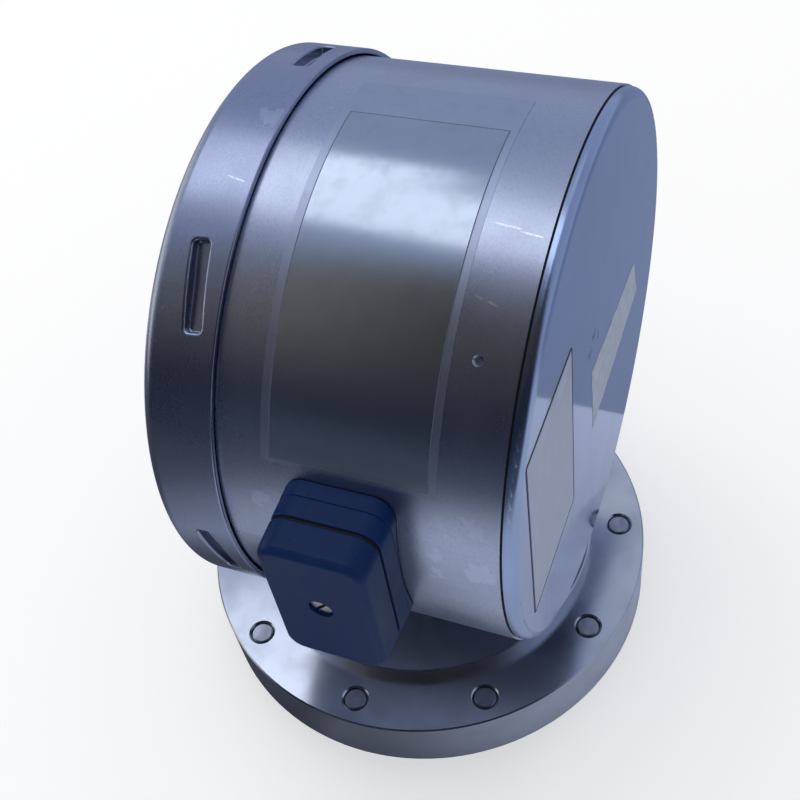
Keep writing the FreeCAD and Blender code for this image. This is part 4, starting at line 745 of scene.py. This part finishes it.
class TRANSMITTER_OT_stage(bpy.types.Operator):
    """Sets the pale floor, the soft light and the camera"""

    bl_idname = "transmitter.stage"
    bl_label = "Stage"

    def execute(self, context):
        scene = context.scene
        settings = scene.transmitter_stage
        mesh = bmesh.new()
        bmesh.ops.create_circle(mesh, cap_ends=True, segments=FLOOR_SIDES, radius=settings.floor_radius)
        bmesh.ops.translate(mesh, vec=(0.0, 0.0, -settings.floor_drop), verts=mesh.verts)
        stage_piece("floor", mesh, stage_material("Paper floor, white", FLOOR_WHITE, FLOOR_GLOW))

        mesh = bmesh.new()
        bmesh.ops.create_circle(mesh, cap_ends=True, segments=FLOOR_SIDES, radius=settings.floor_radius)
        bmesh.ops.translate(mesh, vec=(0.0, 0.0, settings.table_lift), verts=mesh.verts)
        mirror_piece("table", mesh, table_top())

        mesh = bmesh.new()
        start = Matrix.Rotation(CLOTH_START, 3, "Z")
        ends = [mesh.verts.new(start @ Vector(end)) for end in (CLOTH_FOOT, CLOTH_TOP)]
        edge = mesh.edges.new(ends)
        bmesh.ops.spin(
            mesh, geom=ends + [edge], axis=(0.0, 0.0, 1.0), angle=CLOTH_SWEEP, steps=CLOTH_STEPS)
        mirror_piece("mirrored_cloth", mesh, mirrored_cloth())

        # Metal mirrors a bluish sky, pale in front of the ring and where the flange's right side mirrors it.
        # Matt surfaces get a plain pale grey from all sides instead.
        world = bpy.data.worlds.new("studio")
        scene.world = world
        world.use_nodes = True
        tree = world.node_tree
        tree.nodes.clear()
        way = add(tree, "TexCoord")
        parts = add(tree, "SeparateXYZ", {0: way}).node.outputs
        blend = add(tree, "MapRange", {0: parts["Z"], 1: -0.1, 2: 0.9}, **SMOOTH)
        low, high = shaded(linear("A8B2CC")), shaded(linear("9BA7C5"))
        sky = add(tree, "Mix", {0: blend, 6: low, 7: high}, **COLOUR)
        front = add(tree, "MapRange", {0: parts["Y"], 1: -0.78, 2: -0.92}, **SMOOTH)
        sky = add(tree, "Mix", {0: front, 6: sky, 7: shaded(linear("FFFDF2"))}, **COLOUR)
        near = add(tree, "VectorMath", {0: way, 1: PALE_SKY}, operation="DOT_PRODUCT")
        pale = add(tree, "MapRange", {0: near, 1: 0.97, 2: 0.992}, **SMOOTH)
        sky = add(tree, "Mix", {0: pale, 6: sky, 7: shaded(linear("CED6E4"))}, **COLOUR)
        path = add(tree, "LightPath").node.outputs
        shade = add(tree, "Mix", {0: path["Is Diffuse Ray"], 6: sky, 7: shaded(linear("D4D4D4"))}, **COLOUR)
        add(tree, "OutputWorld", {"Surface": add(tree, "Background", {"Color": shade, "Strength": 1.0})})

        top = Vector((TOP_ACROSS, TOP_ALONG, settings.box_height))
        strip = softbox("top_light", top, settings.top_width, settings.top_length, settings.top_power)
        strip.rotation_euler.z = settings.top_turn
        gap = (settings.top_width + settings.side_width) / 2.0
        side = Vector((top.x - gap, SIDE_ALONG, settings.box_height))
        softbox("side_light", side, settings.side_width, settings.side_length, settings.side_power)

        lens = bpy.data.cameras.new("camera")
        lens.lens = settings.lens
        lens.sensor_width = SENSOR_WIDTH
        lens.clip_start = NEAR_CLIP
        lens.clip_end = FAR_CLIP
        camera = bpy.data.objects.new("camera", lens)
        camera.location = settings.eye
        camera.rotation_euler = settings.gaze
        scene.collection.objects.link(camera)
        scene.camera = camera
        scene.view_settings.view_transform = "Standard"
        return {"FINISHED"}


class TRANSMITTER_PT_sidebar(bpy.types.Panel):
    """Lists the steps and the values of the transmitter"""

    bl_label = "Pressure transmitter"
    bl_space_type = "VIEW_3D"
    bl_region_type = "UI"
    bl_category = "Transmitter"

    def draw(self, context):
        layout = self.layout
        for step in STEPS:
            layout.operator(step.bl_idname)
        for name in GROUPS:
            group = getattr(context.scene, name)
            box = layout.box()
            for value in group.bl_rna.properties:
                if not value.is_readonly and value.identifier != "name":
                    box.prop(group, value.identifier)


STEPS = (
    TRANSMITTER_OT_flange,
    TRANSMITTER_OT_case,
    TRANSMITTER_OT_connector,
    TRANSMITTER_OT_inside,
    TRANSMITTER_OT_side_label,
    TRANSMITTER_OT_rear_label,
    TRANSMITTER_OT_stage,
)
GROUPS = {
    "transmitter_colours": FinishColours,
    "transmitter_labels": LabelSizes,
    "transmitter_stage": StageSettings,
}


def register():
    for kind in (*GROUPS.values(), *STEPS, TRANSMITTER_PT_sidebar):
        bpy.utils.register_class(kind)
    for name, kind in GROUPS.items():
        setattr(bpy.types.Scene, name, PointerProperty(type=kind))


def unregister():
    for name in GROUPS:
        delattr(bpy.types.Scene, name)
    for kind in (TRANSMITTER_PT_sidebar, *reversed(STEPS), *GROUPS.values()):
        bpy.utils.unregister_class(kind)


def main():
    """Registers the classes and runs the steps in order."""
    register()
    for step in STEPS:
        group, name = step.bl_idname.split(".")
        getattr(getattr(bpy.ops, group), name)()


if __name__ == "__main__":
    main()
